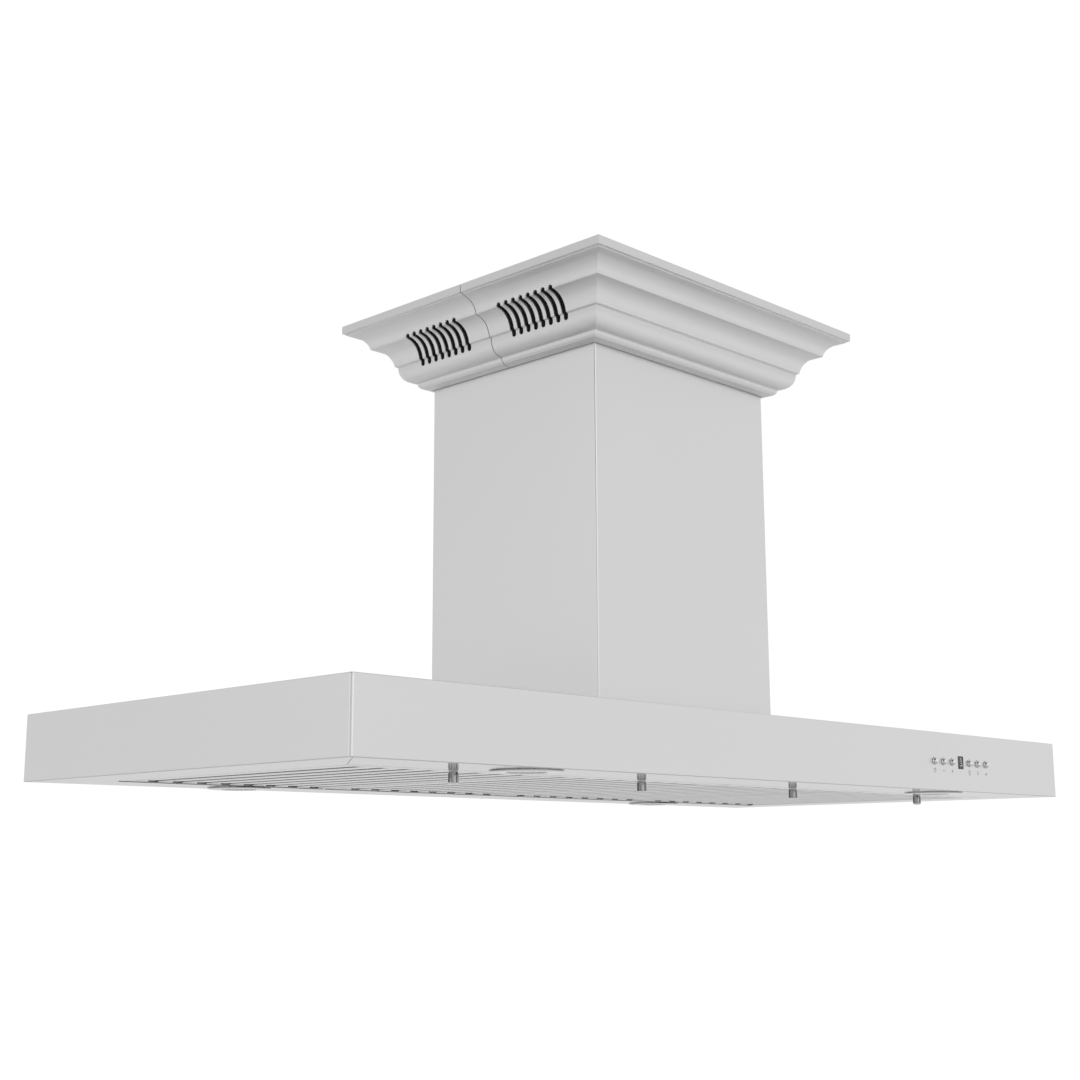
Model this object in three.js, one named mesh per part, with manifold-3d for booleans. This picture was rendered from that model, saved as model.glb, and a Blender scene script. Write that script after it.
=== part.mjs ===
// Island range hood. A shallow stainless canopy hangs from the ceiling under a telescoping chimney.
// A crown moulding at the ceiling holds four loudspeakers behind slots. The canopy carries four baffle
// filters, four lamps and a row of push buttons, and a double-inlet blower stands inside the chimney.
// Millimetres, +Z up. The origin is the middle of the ceiling face; -Y is the side with the buttons.
import * as THREE from 'three';
import { mergeVertices } from 'three/addons/utils/BufferGeometryUtils.js';
import Module from 'manifold-3d';

const wasm = await Module();
wasm.setup();

// ---- Driving dimensions ----
const overallHeight = 577;          // ceiling to the underside of the canopy
const canopyLength = 1219;
const canopyDepth = 542;
const canopyHeight = 71;
const canopyCorner = 3;             // outside bend of the upright corners
const canopySheet = 1.2;
const endFlangeWidth = 63;          // underside flange at the two short ends
const longFlangeWidth = 78;         // underside flange along the two long sides
const mitreSlit = 0.5;

const filterCount = 4;
const filterGap = 1;
const flangeHem = 2;                // what the end flanges give up to the filter opening
const filterThickness = 10;
const filterEndRail = 20;
const filterSideRail = 7;
const baffleSlots = 8;
const baffleSlotWidth = 10.5;
const baffleSheet = 0.9;
const baffleLip = 2.6;
const baffleHatLap = 4;             // how far an upper channel laps each side of its gap
const baffleTuck = 2;               // how far the channels run into the frame
const filterCorner = 1.5;
const lowerBaffleLift = 0.3;        // lower channels above the frame's lower face
const upperBaffleDrop = 0.4;        // upper channels below the frame's upper face
const filterEdgeInset = 13.5;       // knob centre to the front edge of its filter

const knobRadius = 4.6;
const knobHeight = 12;
const knobRim = 1.1;                // bevel round its lower end
const knobNeckStep = 1.2;

const railLedge = 8;
const railSheet = 1.2;
const railStandoff = 2;             // web to the edge of the opening
const railHeadroom = 3;             // above the filters

const lampHoleRadius = 30;
const lampRim = 6;                  // bezel past its hole, all round
const lampLensRadius = 21;
const lampLip = 1.5;                // bezel lip over the lens
const lampDrop = 2.2;
const lampFace = 0.8;               // thickness of the bezel's face
const lampSleeveTop = 16;
const lampSleeveSheet = 1.2;
const lampFit = 0.6;                // sleeve to its hole
const lampOffsetX = 363;

const buttonRadius = 4.4;
const buttonPitch = 20.4;
const buttonDome = 4.6;
const buttonFit = 0.3;
const buttonFlange = 1.4;           // flange behind the fascia, past the button
const buttonFlangeSheet = 1;
const stemRadius = 2.2;
const stemReach = 13;
const stemFit = 0.4;
const buttonGroupX = 364;           // middle of the display, between two groups of three buttons
const buttonsEachSide = 3;
const displayWidth = 12;
const displayHeight = 15.4;
const displayFit = 0.3;
const displayProud = 0.3;
const housingSetback = 6;           // behind the inner face of the fascia
const housingDepth = 18;
const housingHalfHeight = 14;
const housingMargin = 0.6;          // past the last button, in button pitches

const chimneyLength = 313;
const chimneyDepth = 272;
const chimneySheet = 1;
const chimneyCorner = 2;
const chimneySlide = 0.6;           // clearance all round between the nested chimney tubes
const chimneyHidden = 16;           // how far the lower tube reaches up inside the crown
const upperChimneyGap = 65.7;       // its foot above the top of the canopy

const crownOverhang = 82;           // crown edge to chimney face, on all four sides
const crownHeight = 81.4;           // ceiling to the edge that meets the chimney
const crownBead = 2.2;              // rounded lip below that edge
const crownSheet = 1.4;
const crownTopFlange = 14;
const crownSplit = 0.4;             // gap between the front and rear halves
const speakerSlotCount = 8;
const speakerSlotPitch = 11.9;
const speakerSlotWidth = 6.6;
const speakerSlotTop = 25.7;        // below the ceiling
const speakerSlotBottom = 61;
const speakerSlotStart = 38;        // first slot's distance from the split
const speakerSetback = 26;          // speaker face to the chimney face
const speakerHeight = 37;
const speakerFrameSheet = 3;
const speakerMagnetRadius = 14;
const speakerMagnetDepth = 18;
const amplifierHalfLength = 60;
const amplifierDepth = 42;
const amplifierFloor = 26;          // below the ceiling
const amplifierFins = 5;
const amplifierFinPitch = 7;

const strutLeg = 26;
const strutSheet = 1.5;
const strutSlide = 0.5;             // clearance between nested struts and to their neighbours
const upperStrutGap = 37.7;         // its foot above the top of the canopy
const lowerStrutGap = 59.7;         // its head below the ceiling

const blowerBoxHeight = 250;
const blowerBoxSheet = 1;
const blowerAxisY = -26;
const blowerAxisHeight = 119;       // shaft above the canopy top
const scrollWidth = 120;
const scrollSheet = 1;
const scrollStartRadius = 84;
const scrollEndRadius = 118;
const scrollCutOff = 70 * Math.PI / 180;
const scrollTurns = 18;
const impellerRadius = 75;
const impellerWidth = 104;
const impellerBlades = 16;
const impellerRing = 14;            // radial width of the end rings
const impellerRingSheet = 2.5;
const hubRadius = 11;
const inletRadius = 64;
const motorRadius = 45;
const motorLength = 54;
const motorNose = 6;
const bracketSheet = 2;
const bracketArmWidth = 12;
const capacitorRadius = 14;
const capacitorHeight = 48;
const capacitorLift = 30;           // above the floor of the blower box
const shaftRadius = 4;

const ductRadius = 75;
const ductY = 45;
const collarHeight = 55;
const collarSheet = 1;
const collarFlange = 5;
const throatMargin = 14;            // throat inside the blower box, all round
const damperLift = 26;              // damper pin above the foot of the collar
const damperGap = 1.2;              // flap to collar
const damperSheet = 0.8;
const pinRadius = 2;
const pinFit = 0.3;

const plateSheet = 2;
const ductHoleRadius = 82;
const plateMargin = 0.5;            // plate to the inside of the upper chimney
const plateSlotWidth = 7;
const plateSlotLength = 20;

const junctionBoxX = 84;
const junctionBoxY = -100;
const junctionBoxSize = [54, 76, 34];
const junctionLidLap = 1.5;
const ledDriverLength = 170;
const ledDriverWidth = 46;
const ledDriverHeight = 26;
const ledDriverLug = 12;

const seat = 0.3;                   // gap between pieces that touch

// ---- Sizes worked out from the driving dimensions ----
const openingLength = canopyLength - 2 * endFlangeWidth - flangeHem;
const openingDepth = canopyDepth - 2 * longFlangeWidth;
const filterLength = (openingLength - (filterCount + 1) * filterGap) / filterCount;
const filterDepth = openingDepth - 2 * filterGap;
const filterPitch = filterLength + filterGap;
const lampRadius = lampHoleRadius + lampRim;
const lampOffsetY = canopyDepth / 2 - longFlangeWidth / 2 - filterGap;
const canopyTop = canopyHeight;
const boxFloor = canopyTop + seat;
const boxTop = boxFloor + blowerBoxHeight;
const upperTubeLength = chimneyLength - 2 * (chimneySheet + chimneySlide);
const upperTubeDepth = chimneyDepth - 2 * (chimneySheet + chimneySlide);
const strutCornerX = upperTubeLength / 2 - chimneySheet - strutSlide;
const strutCornerY = upperTubeDepth / 2 - chimneySheet - strutSlide;
const strutStep = strutSheet + strutSlide;
const boxLength = 2 * (strutCornerX - 2 * strutStep);
const boxDepth = 2 * (strutCornerY - 2 * strutStep);
const crownLength = chimneyLength + 2 * crownOverhang;
const crownDepth = chimneyDepth + 2 * crownOverhang;
const blowerAxisZ = canopyTop + blowerAxisHeight;
const collarFoot = boxTop + seat;
const clearDrop = overallHeight - canopyHeight - plateSheet - seat;
const upperChimneyLength = clearDrop - upperChimneyGap;
const upperStrutLength = clearDrop - upperStrutGap;
const lowerStrutLength = overallHeight - canopyHeight - seat - lowerStrutGap;
const slotPitch = (filterLength - 2 * filterSideRail) / (baffleSlots + 0.5);
const railWeb = openingDepth / 2 + railStandoff;
const railFoot = lampOffsetY - lampHoleRadius - railWeb;
const railHeight = canopySheet + seat + filterThickness + railHeadroom;
const controlZ = canopyHeight / 2;
const fasciaY = -canopyDepth / 2;
const housingFront = canopySheet + housingSetback;
const speakerFace = crownOverhang - speakerSetback;
const scrollTop = boxTop - blowerBoxSheet - seat - blowerAxisZ;
const motorBack = -scrollWidth / 2;
const over = 1;                     // how far a cutting solid runs past what it cuts

// ---- Materials ----
const finish = (color, roughness, metalness) =>
  new THREE.MeshStandardMaterial({ color, roughness, metalness });
const stainless = finish(0xc9cacb, 0.36, 1);
const polished = finish(0xd9dadb, 0.12, 1);
const galvanised = finish(0xa9adb0, 0.5, 1);
const aluminium = finish(0xbfc2c4, 0.4, 1);
const blackPlastic = finish(0x17181a, 0.55, 0);
const speakerCone = finish(0x111112, 0.8, 0);
const frosted = finish(0xe9e7df, 0.25, 0);
const darkGlass = finish(0x101418, 0.08, 0);
const greyPlastic = finish(0x6d7073, 0.5, 0);

// ---- Solids ----
const solid = (geometry) => {
  const bare = geometry.clone();
  bare.deleteAttribute('normal');
  bare.deleteAttribute('uv');
  const merged = mergeVertices(bare, 1e-4);
  return new wasm.Manifold(new wasm.Mesh({
    numProp: 3,
    vertProperties: merged.attributes.position.array,
    triVerts: Uint32Array.from(merged.index.array),
  }));
};

const mesh = (name, body, material) => {
  const { vertProperties, triVerts } = body.getMesh();
  const geometry = new THREE.BufferGeometry();
  geometry.setAttribute('position', new THREE.BufferAttribute(vertProperties, 3));
  geometry.setIndex(new THREE.BufferAttribute(triVerts, 1));
  geometry.computeVertexNormals();
  const result = new THREE.Mesh(geometry, material);
  result.name = name;
  return result;
};

const axisX = new THREE.Vector3(1, 0, 0);
const axisY = new THREE.Vector3(0, 1, 0);
const axisZ = new THREE.Vector3(0, 0, 1);
const bendSteps = 2;
const roundSteps = 20;
const buttonSegments = 12;

const extruded = (shape, depth, curveSegments) =>
  new THREE.ExtrudeGeometry(shape, { depth, bevelEnabled: false, curveSegments });

// A plan outline raised from z = low to z = high.
const raised = (shape, low, high, curveSegments = bendSteps) =>
  solid(extruded(shape, high - low, curveSegments).translate(0, 0, low));

// An outline drawn in Y and Z, run along X from low to high.
const alongX = (shape, low, high, curveSegments = bendSteps) => {
  const turn = new THREE.Matrix4().makeBasis(axisY, axisZ, axisX);
  return solid(extruded(shape, high - low, curveSegments).applyMatrix4(turn).translate(low, 0, 0));
};

// An outline drawn in X and Z, run along Y from low to high.
const alongY = (shape, low, high, curveSegments = bendSteps) => {
  const turn = new THREE.Matrix4().makeBasis(axisX, axisZ, axisY.clone().negate());
  return solid(extruded(shape, high - low, curveSegments).applyMatrix4(turn).translate(0, high, 0));
};

// A profile of [radius, height] pairs, given anticlockwise, turned about Z.
const turned = (profile, segments = roundSteps) => {
  const points = [...profile, profile[0]].map(([radius, height]) => new THREE.Vector2(radius, height));
  return solid(new THREE.LatheGeometry(points, segments).rotateX(Math.PI / 2));
};

const block = (x0, x1, y0, y1, z0, z1) =>
  solid(new THREE.BoxGeometry(x1 - x0, y1 - y0, z1 - z0)
    .translate((x0 + x1) / 2, (y0 + y1) / 2, (z0 + z1) / 2));

const rod = (radius, low, high, segments = roundSteps) =>
  solid(new THREE.CylinderGeometry(radius, radius, high - low, segments)
    .rotateX(Math.PI / 2).translate(0, 0, (low + high) / 2));

const rodX = (radius, low, high, segments = roundSteps) =>
  solid(new THREE.CylinderGeometry(radius, radius, high - low, segments)
    .rotateZ(-Math.PI / 2).translate((low + high) / 2, 0, 0));

const rodY = (radius, low, high, segments = roundSteps) =>
  solid(new THREE.CylinderGeometry(radius, radius, high - low, segments).translate(0, (low + high) / 2, 0));

const join = (bodies) => bodies.reduce((whole, next) => whole.add(next));
const cut = (body, tools) => tools.reduce((whole, next) => whole.subtract(next), body);
const signs = [-1, 1];
const steps = (count) => Array.from({ length: count }, (_, index) => index);

const polygon = (points) => new THREE.Shape(points.map(([a, b]) => new THREE.Vector2(a, b)));

const rectangle = (width, depth, corner = 0) => {
  const x = width / 2;
  const y = depth / 2;
  if (corner === 0) return polygon([[-x, -y], [x, -y], [x, y], [-x, y]]);
  const shape = new THREE.Shape();
  shape.moveTo(corner - x, -y);
  shape.absarc(x - corner, corner - y, corner, -Math.PI / 2, 0);
  shape.absarc(x - corner, y - corner, corner, 0, Math.PI / 2);
  shape.absarc(corner - x, y - corner, corner, Math.PI / 2, Math.PI);
  shape.absarc(corner - x, corner - y, corner, Math.PI, 1.5 * Math.PI);
  return shape;
};

// An upright slot with round ends, drawn at a centre.
const slotOutline = (width, height, centreX, centreY) => {
  const radius = width / 2;
  const reach = height / 2 - radius;
  const shape = new THREE.Shape();
  shape.moveTo(centreX + radius, centreY - reach);
  shape.absarc(centreX, centreY + reach, radius, 0, Math.PI);
  shape.absarc(centreX, centreY - reach, radius, Math.PI, 2 * Math.PI);
  return shape;
};

const group = (children, x = 0, y = 0, z = 0) => {
  const result = new THREE.Group();
  result.add(...children.flat());
  result.position.set(x, y, z);
  return result;
};

// ---- Canopy: one folded sheet with a mitred underside flange ----
const mitreCut = (signX, signY) => {
  const inner = new THREE.Vector2(openingLength / 2 - over, openingDepth / 2 - over);
  const margin = canopySheet + over;
  const outer = new THREE.Vector2(canopyLength / 2 - margin, canopyDepth / 2 - margin);
  const side = outer.clone().sub(inner).normalize().multiplyScalar(mitreSlit / 2);
  const corners = [
    [inner.x + side.y, inner.y - side.x], [outer.x + side.y, outer.y - side.x],
    [outer.x - side.y, outer.y + side.x], [inner.x - side.y, inner.y + side.x],
  ].map(([x, y]) => [signX * x, signY * y]);
  return raised(polygon(signX * signY > 0 ? corners : corners.reverse()), -over, canopySheet + over);
};

const lampPlaces = signs.flatMap((y) => signs.map((x) => [x * lampOffsetX, y * lampOffsetY]));
const buttonPlaces = signs.flatMap((side) => steps(buttonsEachSide).map((index) =>
  buttonGroupX + side * (side < 0 ? buttonsEachSide - index : index + 1) * buttonPitch));
const canopyShell = () => {
  const innerCorner = canopyCorner - canopySheet;
  const skin = raised(rectangle(canopyLength, canopyDepth, canopyCorner), 0, canopyHeight);
  const hollow = raised(
    rectangle(canopyLength - 2 * canopySheet, canopyDepth - 2 * canopySheet, innerCorner),
    canopySheet, canopyHeight - canopySheet);
  const below = raised(rectangle(openingLength, openingDepth), -over, canopySheet + over);
  const throat = raised(rectangle(boxLength - 2 * throatMargin, boxDepth - 2 * throatMargin),
    canopyHeight - canopySheet - over, canopyHeight + over);
  const lampHoles = lampPlaces.map(([x, y]) =>
    rod(lampHoleRadius, -over, canopySheet + over).translate([x, y, 0]));
  const buttonHoles = buttonPlaces.map((x) =>
    rodY(buttonRadius + buttonFit, fasciaY - over, fasciaY + canopySheet + over, buttonSegments)
      .translate([x, 0, controlZ]));
  const halfWidth = displayWidth / 2 + displayFit;
  const halfHeight = displayHeight / 2 + displayFit;
  const window = block(buttonGroupX - halfWidth, buttonGroupX + halfWidth, fasciaY - over,
    fasciaY + canopySheet + over, controlZ - halfHeight, controlZ + halfHeight);
  const mitres = signs.flatMap((x) => signs.map((y) => mitreCut(x, y)));
  return mesh('canopy_shell',
    cut(skin, [hollow, below, throat, ...lampHoles, ...buttonHoles, window, ...mitres]), stainless);
};

// ---- Rails that the filters rest against, standing on the long flanges ----
const filterRail = (name, side) => {
  const web = railWeb;
  const outline = [
    [web + railFoot, canopySheet + seat], [web + railFoot, canopySheet + seat + railSheet],
    [web + railSheet, canopySheet + seat + railSheet], [web + railSheet, railHeight],
    [web - railStandoff - railLedge, railHeight], [web - railStandoff - railLedge, railHeight - railSheet],
    [web, railHeight - railSheet], [web, canopySheet + seat],
  ].map(([y, z]) => [side * y, z]);
  const body = alongX(polygon(side > 0 ? outline : outline.reverse()), -openingLength / 2, openingLength / 2);
  return mesh(name, body, galvanised);
};

// ---- Baffle filters: a frame with flat strips below and channels over the gaps ----
const baffleFilter = (name) => {
  const halfX = filterLength / 2;
  const halfY = filterDepth / 2;
  const outer = raised(rectangle(filterLength, filterDepth, filterCorner), 0, filterThickness);
  const innerX = halfX - filterSideRail;
  const innerY = halfY - filterEndRail;
  const inner = block(-innerX, innerX, -innerY, innerY, -over, filterThickness + over);
  const frame = outer.subtract(inner);
  const gaps = steps(baffleSlots).map((index) => (index - (baffleSlots - 1) / 2) * slotPitch);
  const edges = [-innerX - baffleTuck, ...gaps.flatMap((x) =>
    [x - baffleSlotWidth / 2, x + baffleSlotWidth / 2]), innerX + baffleTuck];
  const run = innerY + baffleTuck;
  const low = lowerBaffleLift;
  const lower = steps(baffleSlots + 1).map((index) => {
    const [x0, x1] = [edges[2 * index], edges[2 * index + 1]];
    const channel = polygon([[x0, low], [x1, low], [x1, low + baffleLip], [x1 - baffleSheet, low + baffleLip],
      [x1 - baffleSheet, low + baffleSheet], [x0 + baffleSheet, low + baffleSheet],
      [x0 + baffleSheet, low + baffleLip], [x0, low + baffleLip]]);
    return alongY(channel, -run, run);
  });
  const hatReach = baffleSlotWidth / 2 + baffleHatLap;
  const upperTop = filterThickness - upperBaffleDrop;
  const upper = gaps.map((x) => {
    const [x0, x1] = [x - hatReach, x + hatReach];
    const hat = polygon([[x0, upperTop - baffleLip], [x0 + baffleSheet, upperTop - baffleLip],
      [x0 + baffleSheet, upperTop - baffleSheet], [x1 - baffleSheet, upperTop - baffleSheet],
      [x1 - baffleSheet, upperTop - baffleLip], [x1, upperTop - baffleLip], [x1, upperTop], [x0, upperTop]]);
    return alongY(hat, -run, run);
  });
  return mesh(name, join([frame, ...lower, ...upper]), stainless);
};

const filterKnob = (name) => {
  const neck = knobRadius - knobNeckStep;
  const foot = -seat - knobHeight;
  return mesh(name, turned([[0, foot], [knobRadius - knobRim, foot], [knobRadius, foot + knobRim],
    [knobRadius, -seat - knobNeckStep], [neck, -seat - 0.8], [neck, -seat], [0, -seat]], 16), polished);
};

const filterSet = () => steps(filterCount).map((index) => {
  const x = (index - (filterCount - 1) / 2) * filterPitch;
  const knob = filterKnob(`filter_knob_${index + 1}`);
  knob.position.y = -filterDepth / 2 + filterEdgeInset;
  return group([baffleFilter(`baffle_filter_${index + 1}`), knob], x, 0, 0);
});

// ---- Lamps: a bezel whose sleeve passes through the flange, and a lens ----
const lamp = (index, [x, y]) => {
  const lip = lampLensRadius - lampLip;
  const sleeve = lampHoleRadius - lampFit;
  const bore = sleeve - lampSleeveSheet;
  const lensWell = lampLensRadius + seat;
  const ledge = lampFace - lampDrop;
  const bezel = turned([[lip, -lampDrop], [lampRadius - lampLip, -lampDrop], [lampRadius, -seat - 0.6],
    [lampRadius, -seat], [sleeve, -seat], [sleeve, lampSleeveTop], [bore, lampSleeveTop], [bore, lampDrop],
    [lensWell, -seat], [lensWell, ledge], [lip, ledge]]);
  const lens = turned([[0, ledge + seat], [lampLensRadius, ledge + seat], [lampLensRadius, 0.2],
    [lampLensRadius - 2, 1.2], [0, lampDrop]]);
  return group([
    mesh(`lamp_bezel_${index}`, bezel, polished),
    mesh(`lamp_lens_${index}`, lens, frosted),
  ], x, y, 0);
};

// ---- Controls on the front fascia ----
const button = (index, x) => {
  const back = canopySheet + seat;
  const shoulder = back + buttonFlangeSheet;
  const dome = new THREE.Path();
  dome.moveTo(buttonRadius, 0);
  dome.quadraticCurveTo(buttonRadius, -buttonDome * 0.75, 2, -buttonDome);
  const curve = dome.getPoints(2).map((point) => [point.x, -point.y]);
  const outline = [[0, -shoulder - stemReach], [stemRadius, -shoulder - stemReach], [stemRadius, -shoulder],
    [buttonRadius + buttonFlange, -shoulder], [buttonRadius + buttonFlange, -back], [buttonRadius, -back],
    ...curve, [0, buttonDome + 0.1]];
  const result = mesh(`button_${index}`, turned(outline, buttonSegments), polished);
  result.rotation.x = Math.PI / 2;
  return group([result], x, fasciaY, controlZ);
};

const controls = () => {
  const reach = (buttonsEachSide + housingMargin) * buttonPitch;
  const front = fasciaY + housingFront;
  const housing = block(buttonGroupX - reach, buttonGroupX + reach, front, front + housingDepth,
    controlZ - housingHalfHeight, controlZ + housingHalfHeight);
  const bores = buttonPlaces.map((x) => rodY(stemRadius + stemFit, front - over, front + stemReach, 8)
    .translate([x, 0, controlZ]));
  const display = block(buttonGroupX - displayWidth / 2, buttonGroupX + displayWidth / 2,
    fasciaY - displayProud, front - seat, controlZ - displayHeight / 2, controlZ + displayHeight / 2);
  return [
    mesh('control_housing', cut(housing, bores), blackPlastic),
    mesh('display_window', display, darkGlass),
    ...buttonPlaces.map((x, index) => button(index + 1, x)),
  ];
};

// ---- Chimney tubes ----
const tube = (length, depth, corner, sheet, low, high) =>
  raised(rectangle(length, depth, corner), low, high).subtract(
    raised(rectangle(length - 2 * sheet, depth - 2 * sheet, corner - sheet), low - over, high + over));

const lowerChimney = () => {
  const top = overallHeight - crownHeight + chimneyHidden;
  return mesh('chimney_lower',
    tube(chimneyLength, chimneyDepth, chimneyCorner, chimneySheet, canopyTop + seat, top), stainless);
};

const upperChimney = () => mesh('chimney_upper',
  tube(upperTubeLength, upperTubeDepth, chimneyCorner, chimneySheet,
    -plateSheet - seat - upperChimneyLength, -plateSheet - seat), stainless);

// ---- Crown moulding: a mitred run of moulding in two halves ----
// The moulding seen from the end: inset from the crown's edge against depth below the ceiling.
const crownOutline = () => {
  const path = new THREE.Path();
  path.moveTo(0, 0);
  path.lineTo(0, -9.7);
  path.lineTo(3.6, -10.3);
  path.lineTo(3.6, -11.6);
  path.quadraticCurveTo(20, -14.2, 24.8, -27.5);
  path.lineTo(25.2, -30.3);
  path.quadraticCurveTo(43.5, -32.6, 47.3, -52.8);
  path.lineTo(50.3, -54.2);
  path.quadraticCurveTo(50.6, -72.6, 67.3, -74.8);
  path.lineTo(68.4, -78.8);
  path.lineTo(71, -81.2);
  return path.getPoints(3).map((point) => [point.x, point.y]);
};

// A solid whose four sides all follow the same outline, meeting at mitres.
const mitredSolid = (outline) => {
  const mirrored = (half) => [
    ...outline.map(([inset, z]) => [half - inset, z]),
    ...outline.map(([inset, z]) => [inset - half, z]).reverse(),
  ];
  const halfX = crownLength / 2;
  const halfY = crownDepth / 2;
  return alongX(polygon(mirrored(halfY).reverse()), -halfX - over, halfX + over)
    .intersect(alongY(polygon(mirrored(halfX).reverse()), -halfY - over, halfY + over));
};

const speakerSlots = (side) => {
  const height = speakerSlotBottom - speakerSlotTop;
  const middle = -(speakerSlotTop + speakerSlotBottom) / 2;
  const near = crownLength / 2 - speakerFace - 6;
  const far = crownLength / 2 + over;
  const [low, high] = side < 0 ? [-far, -near] : [near, far];
  return signs.flatMap((end) => steps(speakerSlotCount).map((index) => {
    const y = end * (speakerSlotStart + index * speakerSlotPitch);
    return alongX(slotOutline(speakerSlotWidth, height, y, middle), low, high);
  }));
};

const crownBody = () => {
  const outline = crownOutline();
  const bore = crownOverhang - chimneySlide;
  const lipDepth = crownHeight + crownBead;
  const outer = mitredSolid([...outline, [bore - crownBead, -lipDepth], [bore, -crownHeight]]);
  const inside = outline.map(([inset, z]) => [inset + crownSheet, z + crownSheet]);
  const floor = crownSheet - crownHeight;
  const hollow = mitredSolid([...inside, [bore, floor]])
    .intersect(block(-crownLength, crownLength, -crownDepth, crownDepth, -crownHeight, -crownSheet));
  const well = raised(rectangle(crownLength - 2 * bore, crownDepth - 2 * bore), -lipDepth - over, over);
  const top = raised(rectangle(crownLength - 2 * crownTopFlange, crownDepth - 2 * crownTopFlange),
    -crownSheet - over, over);
  return cut(outer, [hollow, well, top, ...signs.flatMap(speakerSlots)]);
};

const crown = () => {
  const whole = crownBody();
  const far = crownDepth;
  const half = (side) => {
    const [y0, y1] = side < 0 ? [-far, -crownSplit / 2] : [crownSplit / 2, far];
    return whole.intersect(block(-crownLength, crownLength, y0, y1, -2 * crownHeight, over));
  };
  return [mesh('crown_front_half', half(-1), stainless), mesh('crown_rear_half', half(1), stainless)];
};

// ---- Loudspeakers behind the slots ----
const speaker = (name, side, end) => {
  const width = (speakerSlotCount - 1) * speakerSlotPitch + speakerSlotWidth + 4;
  const frame = raised(slotOutline(speakerHeight, width, 0, 0), 0, speakerFrameSheet, 5);
  const dish = solid(new THREE.CylinderGeometry(6, 15, speakerFrameSheet, 14).rotateX(-Math.PI / 2)
    .scale(1, 2.4, 1).translate(0, 0, 0.9));
  const magnet = rod(speakerMagnetRadius, speakerFrameSheet - over, speakerMagnetDepth, 14);
  const body = cut(join([frame, magnet]), [dish]);
  const result = mesh(name, body, speakerCone);
  result.rotation.set(0, -side * Math.PI / 2, 0);
  const middle = speakerSlotStart + (speakerSlotCount - 1) * speakerSlotPitch / 2;
  return group([result], side * (crownLength / 2 - speakerFace), end * middle,
    -(speakerSlotTop + speakerSlotBottom) / 2);
};

const speakers = () => [
  speaker('speaker_left_front', -1, -1), speaker('speaker_left_rear', -1, 1),
  speaker('speaker_right_front', 1, -1), speaker('speaker_right_rear', 1, 1),
];

const amplifier = () => {
  const rear = chimneyDepth / 2 + 6;
  const reach = amplifierHalfLength;
  const body = block(-reach, reach, rear, rear + amplifierDepth, -amplifierFloor, -crownSheet - 2);
  const fins = steps(amplifierFins).map((index) => {
    const low = rear + 5 + index * amplifierFinPitch;
    return block(-reach - over, reach + over, low, low + 3, -amplifierFloor - over, 3 - amplifierFloor);
  });
  return mesh('speaker_amplifier', cut(body, fins), greyPlastic);
};

// ---- Ceiling plate and telescoping struts ----
const ceilingPlate = () => {
  const inset = 2 * (chimneySheet + plateMargin);
  const plate = raised(rectangle(upperTubeLength - inset, upperTubeDepth - inset), -plateSheet, 0);
  const hole = rod(ductHoleRadius, -plateSheet - over, over, 28).translate([0, ductY, 0]);
  const slotX = strutCornerX - strutLeg - 4;
  const slotY = strutCornerY - 16;
  const bolts = signs.flatMap((x) => signs.map((y) => raised(
    slotOutline(plateSlotWidth, plateSlotLength, x * slotX, y * slotY), -plateSheet - over, over)));
  return mesh('ceiling_plate', cut(plate, [hole, ...bolts]), galvanised);
};

const strut = (name, signX, signY, cornerX, cornerY, low, high) => {
  const leg = [[0, 0], [-strutLeg, 0], [-strutLeg, -strutSheet], [-strutSheet, -strutSheet],
    [-strutSheet, -strutLeg], [0, -strutLeg]].map(([x, y]) => [signX * (cornerX + x), signY * (cornerY + y)]);
  const body = raised(polygon(signX * signY > 0 ? leg : leg.reverse()), low, high);
  return mesh(name, body, galvanised);
};

const corners = [['front_left', -1, -1], ['front_right', 1, -1], ['rear_left', -1, 1], ['rear_right', 1, 1]];

const upperStruts = () => corners.map(([place, x, y]) => strut(`upper_strut_${place}`, x, y,
  strutCornerX, strutCornerY, -plateSheet - seat - upperStrutLength, -plateSheet - seat));

const lowerStruts = () => corners.map(([place, x, y]) => strut(`lower_strut_${place}`, x, y,
  strutCornerX - strutStep, strutCornerY - strutStep, canopyTop + seat, canopyTop + seat + lowerStrutLength));

// ---- Blower ----
const blowerBox = () => {
  const outer = block(-boxLength / 2, boxLength / 2, -boxDepth / 2, boxDepth / 2, boxFloor, boxTop);
  const innerX = boxLength / 2 - blowerBoxSheet;
  const innerY = boxDepth / 2 - blowerBoxSheet;
  const inner = block(-innerX, innerX, -innerY, innerY, boxFloor - over, boxTop - blowerBoxSheet);
  const outlet = rod(ductRadius - collarFlange, boxTop - 3, boxTop + over).translate([0, ductY, 0]);
  return mesh('blower_box', cut(outer, [inner, outlet]), galvanised);
};

// The scroll opens steadily from the cut-off round to the outlet wall.
const scrollOutline = (grow, top) => {
  const points = steps(scrollTurns + 1).map((index) => {
    const angle = scrollCutOff + (2 * Math.PI - scrollCutOff) * index / scrollTurns;
    const radius = scrollStartRadius + (scrollEndRadius - scrollStartRadius) * index / scrollTurns + grow;
    return [radius * Math.cos(angle), radius * Math.sin(angle)];
  });
  const cutOff = points[0];
  return polygon([...points, [scrollEndRadius + grow, top], [cutOff[0] - 2 * grow, top]]);
};

const blowerScroll = () => {
  const half = scrollWidth / 2;
  const outer = alongX(scrollOutline(0, scrollTop), -half, half);
  const inner = alongX(scrollOutline(-scrollSheet, scrollTop + over), scrollSheet - half, half - scrollSheet);
  const inlets = rodX(inletRadius, -half - over, half + over);
  return mesh('blower_scroll', cut(outer, [inner, inlets]), galvanised);
};

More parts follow.
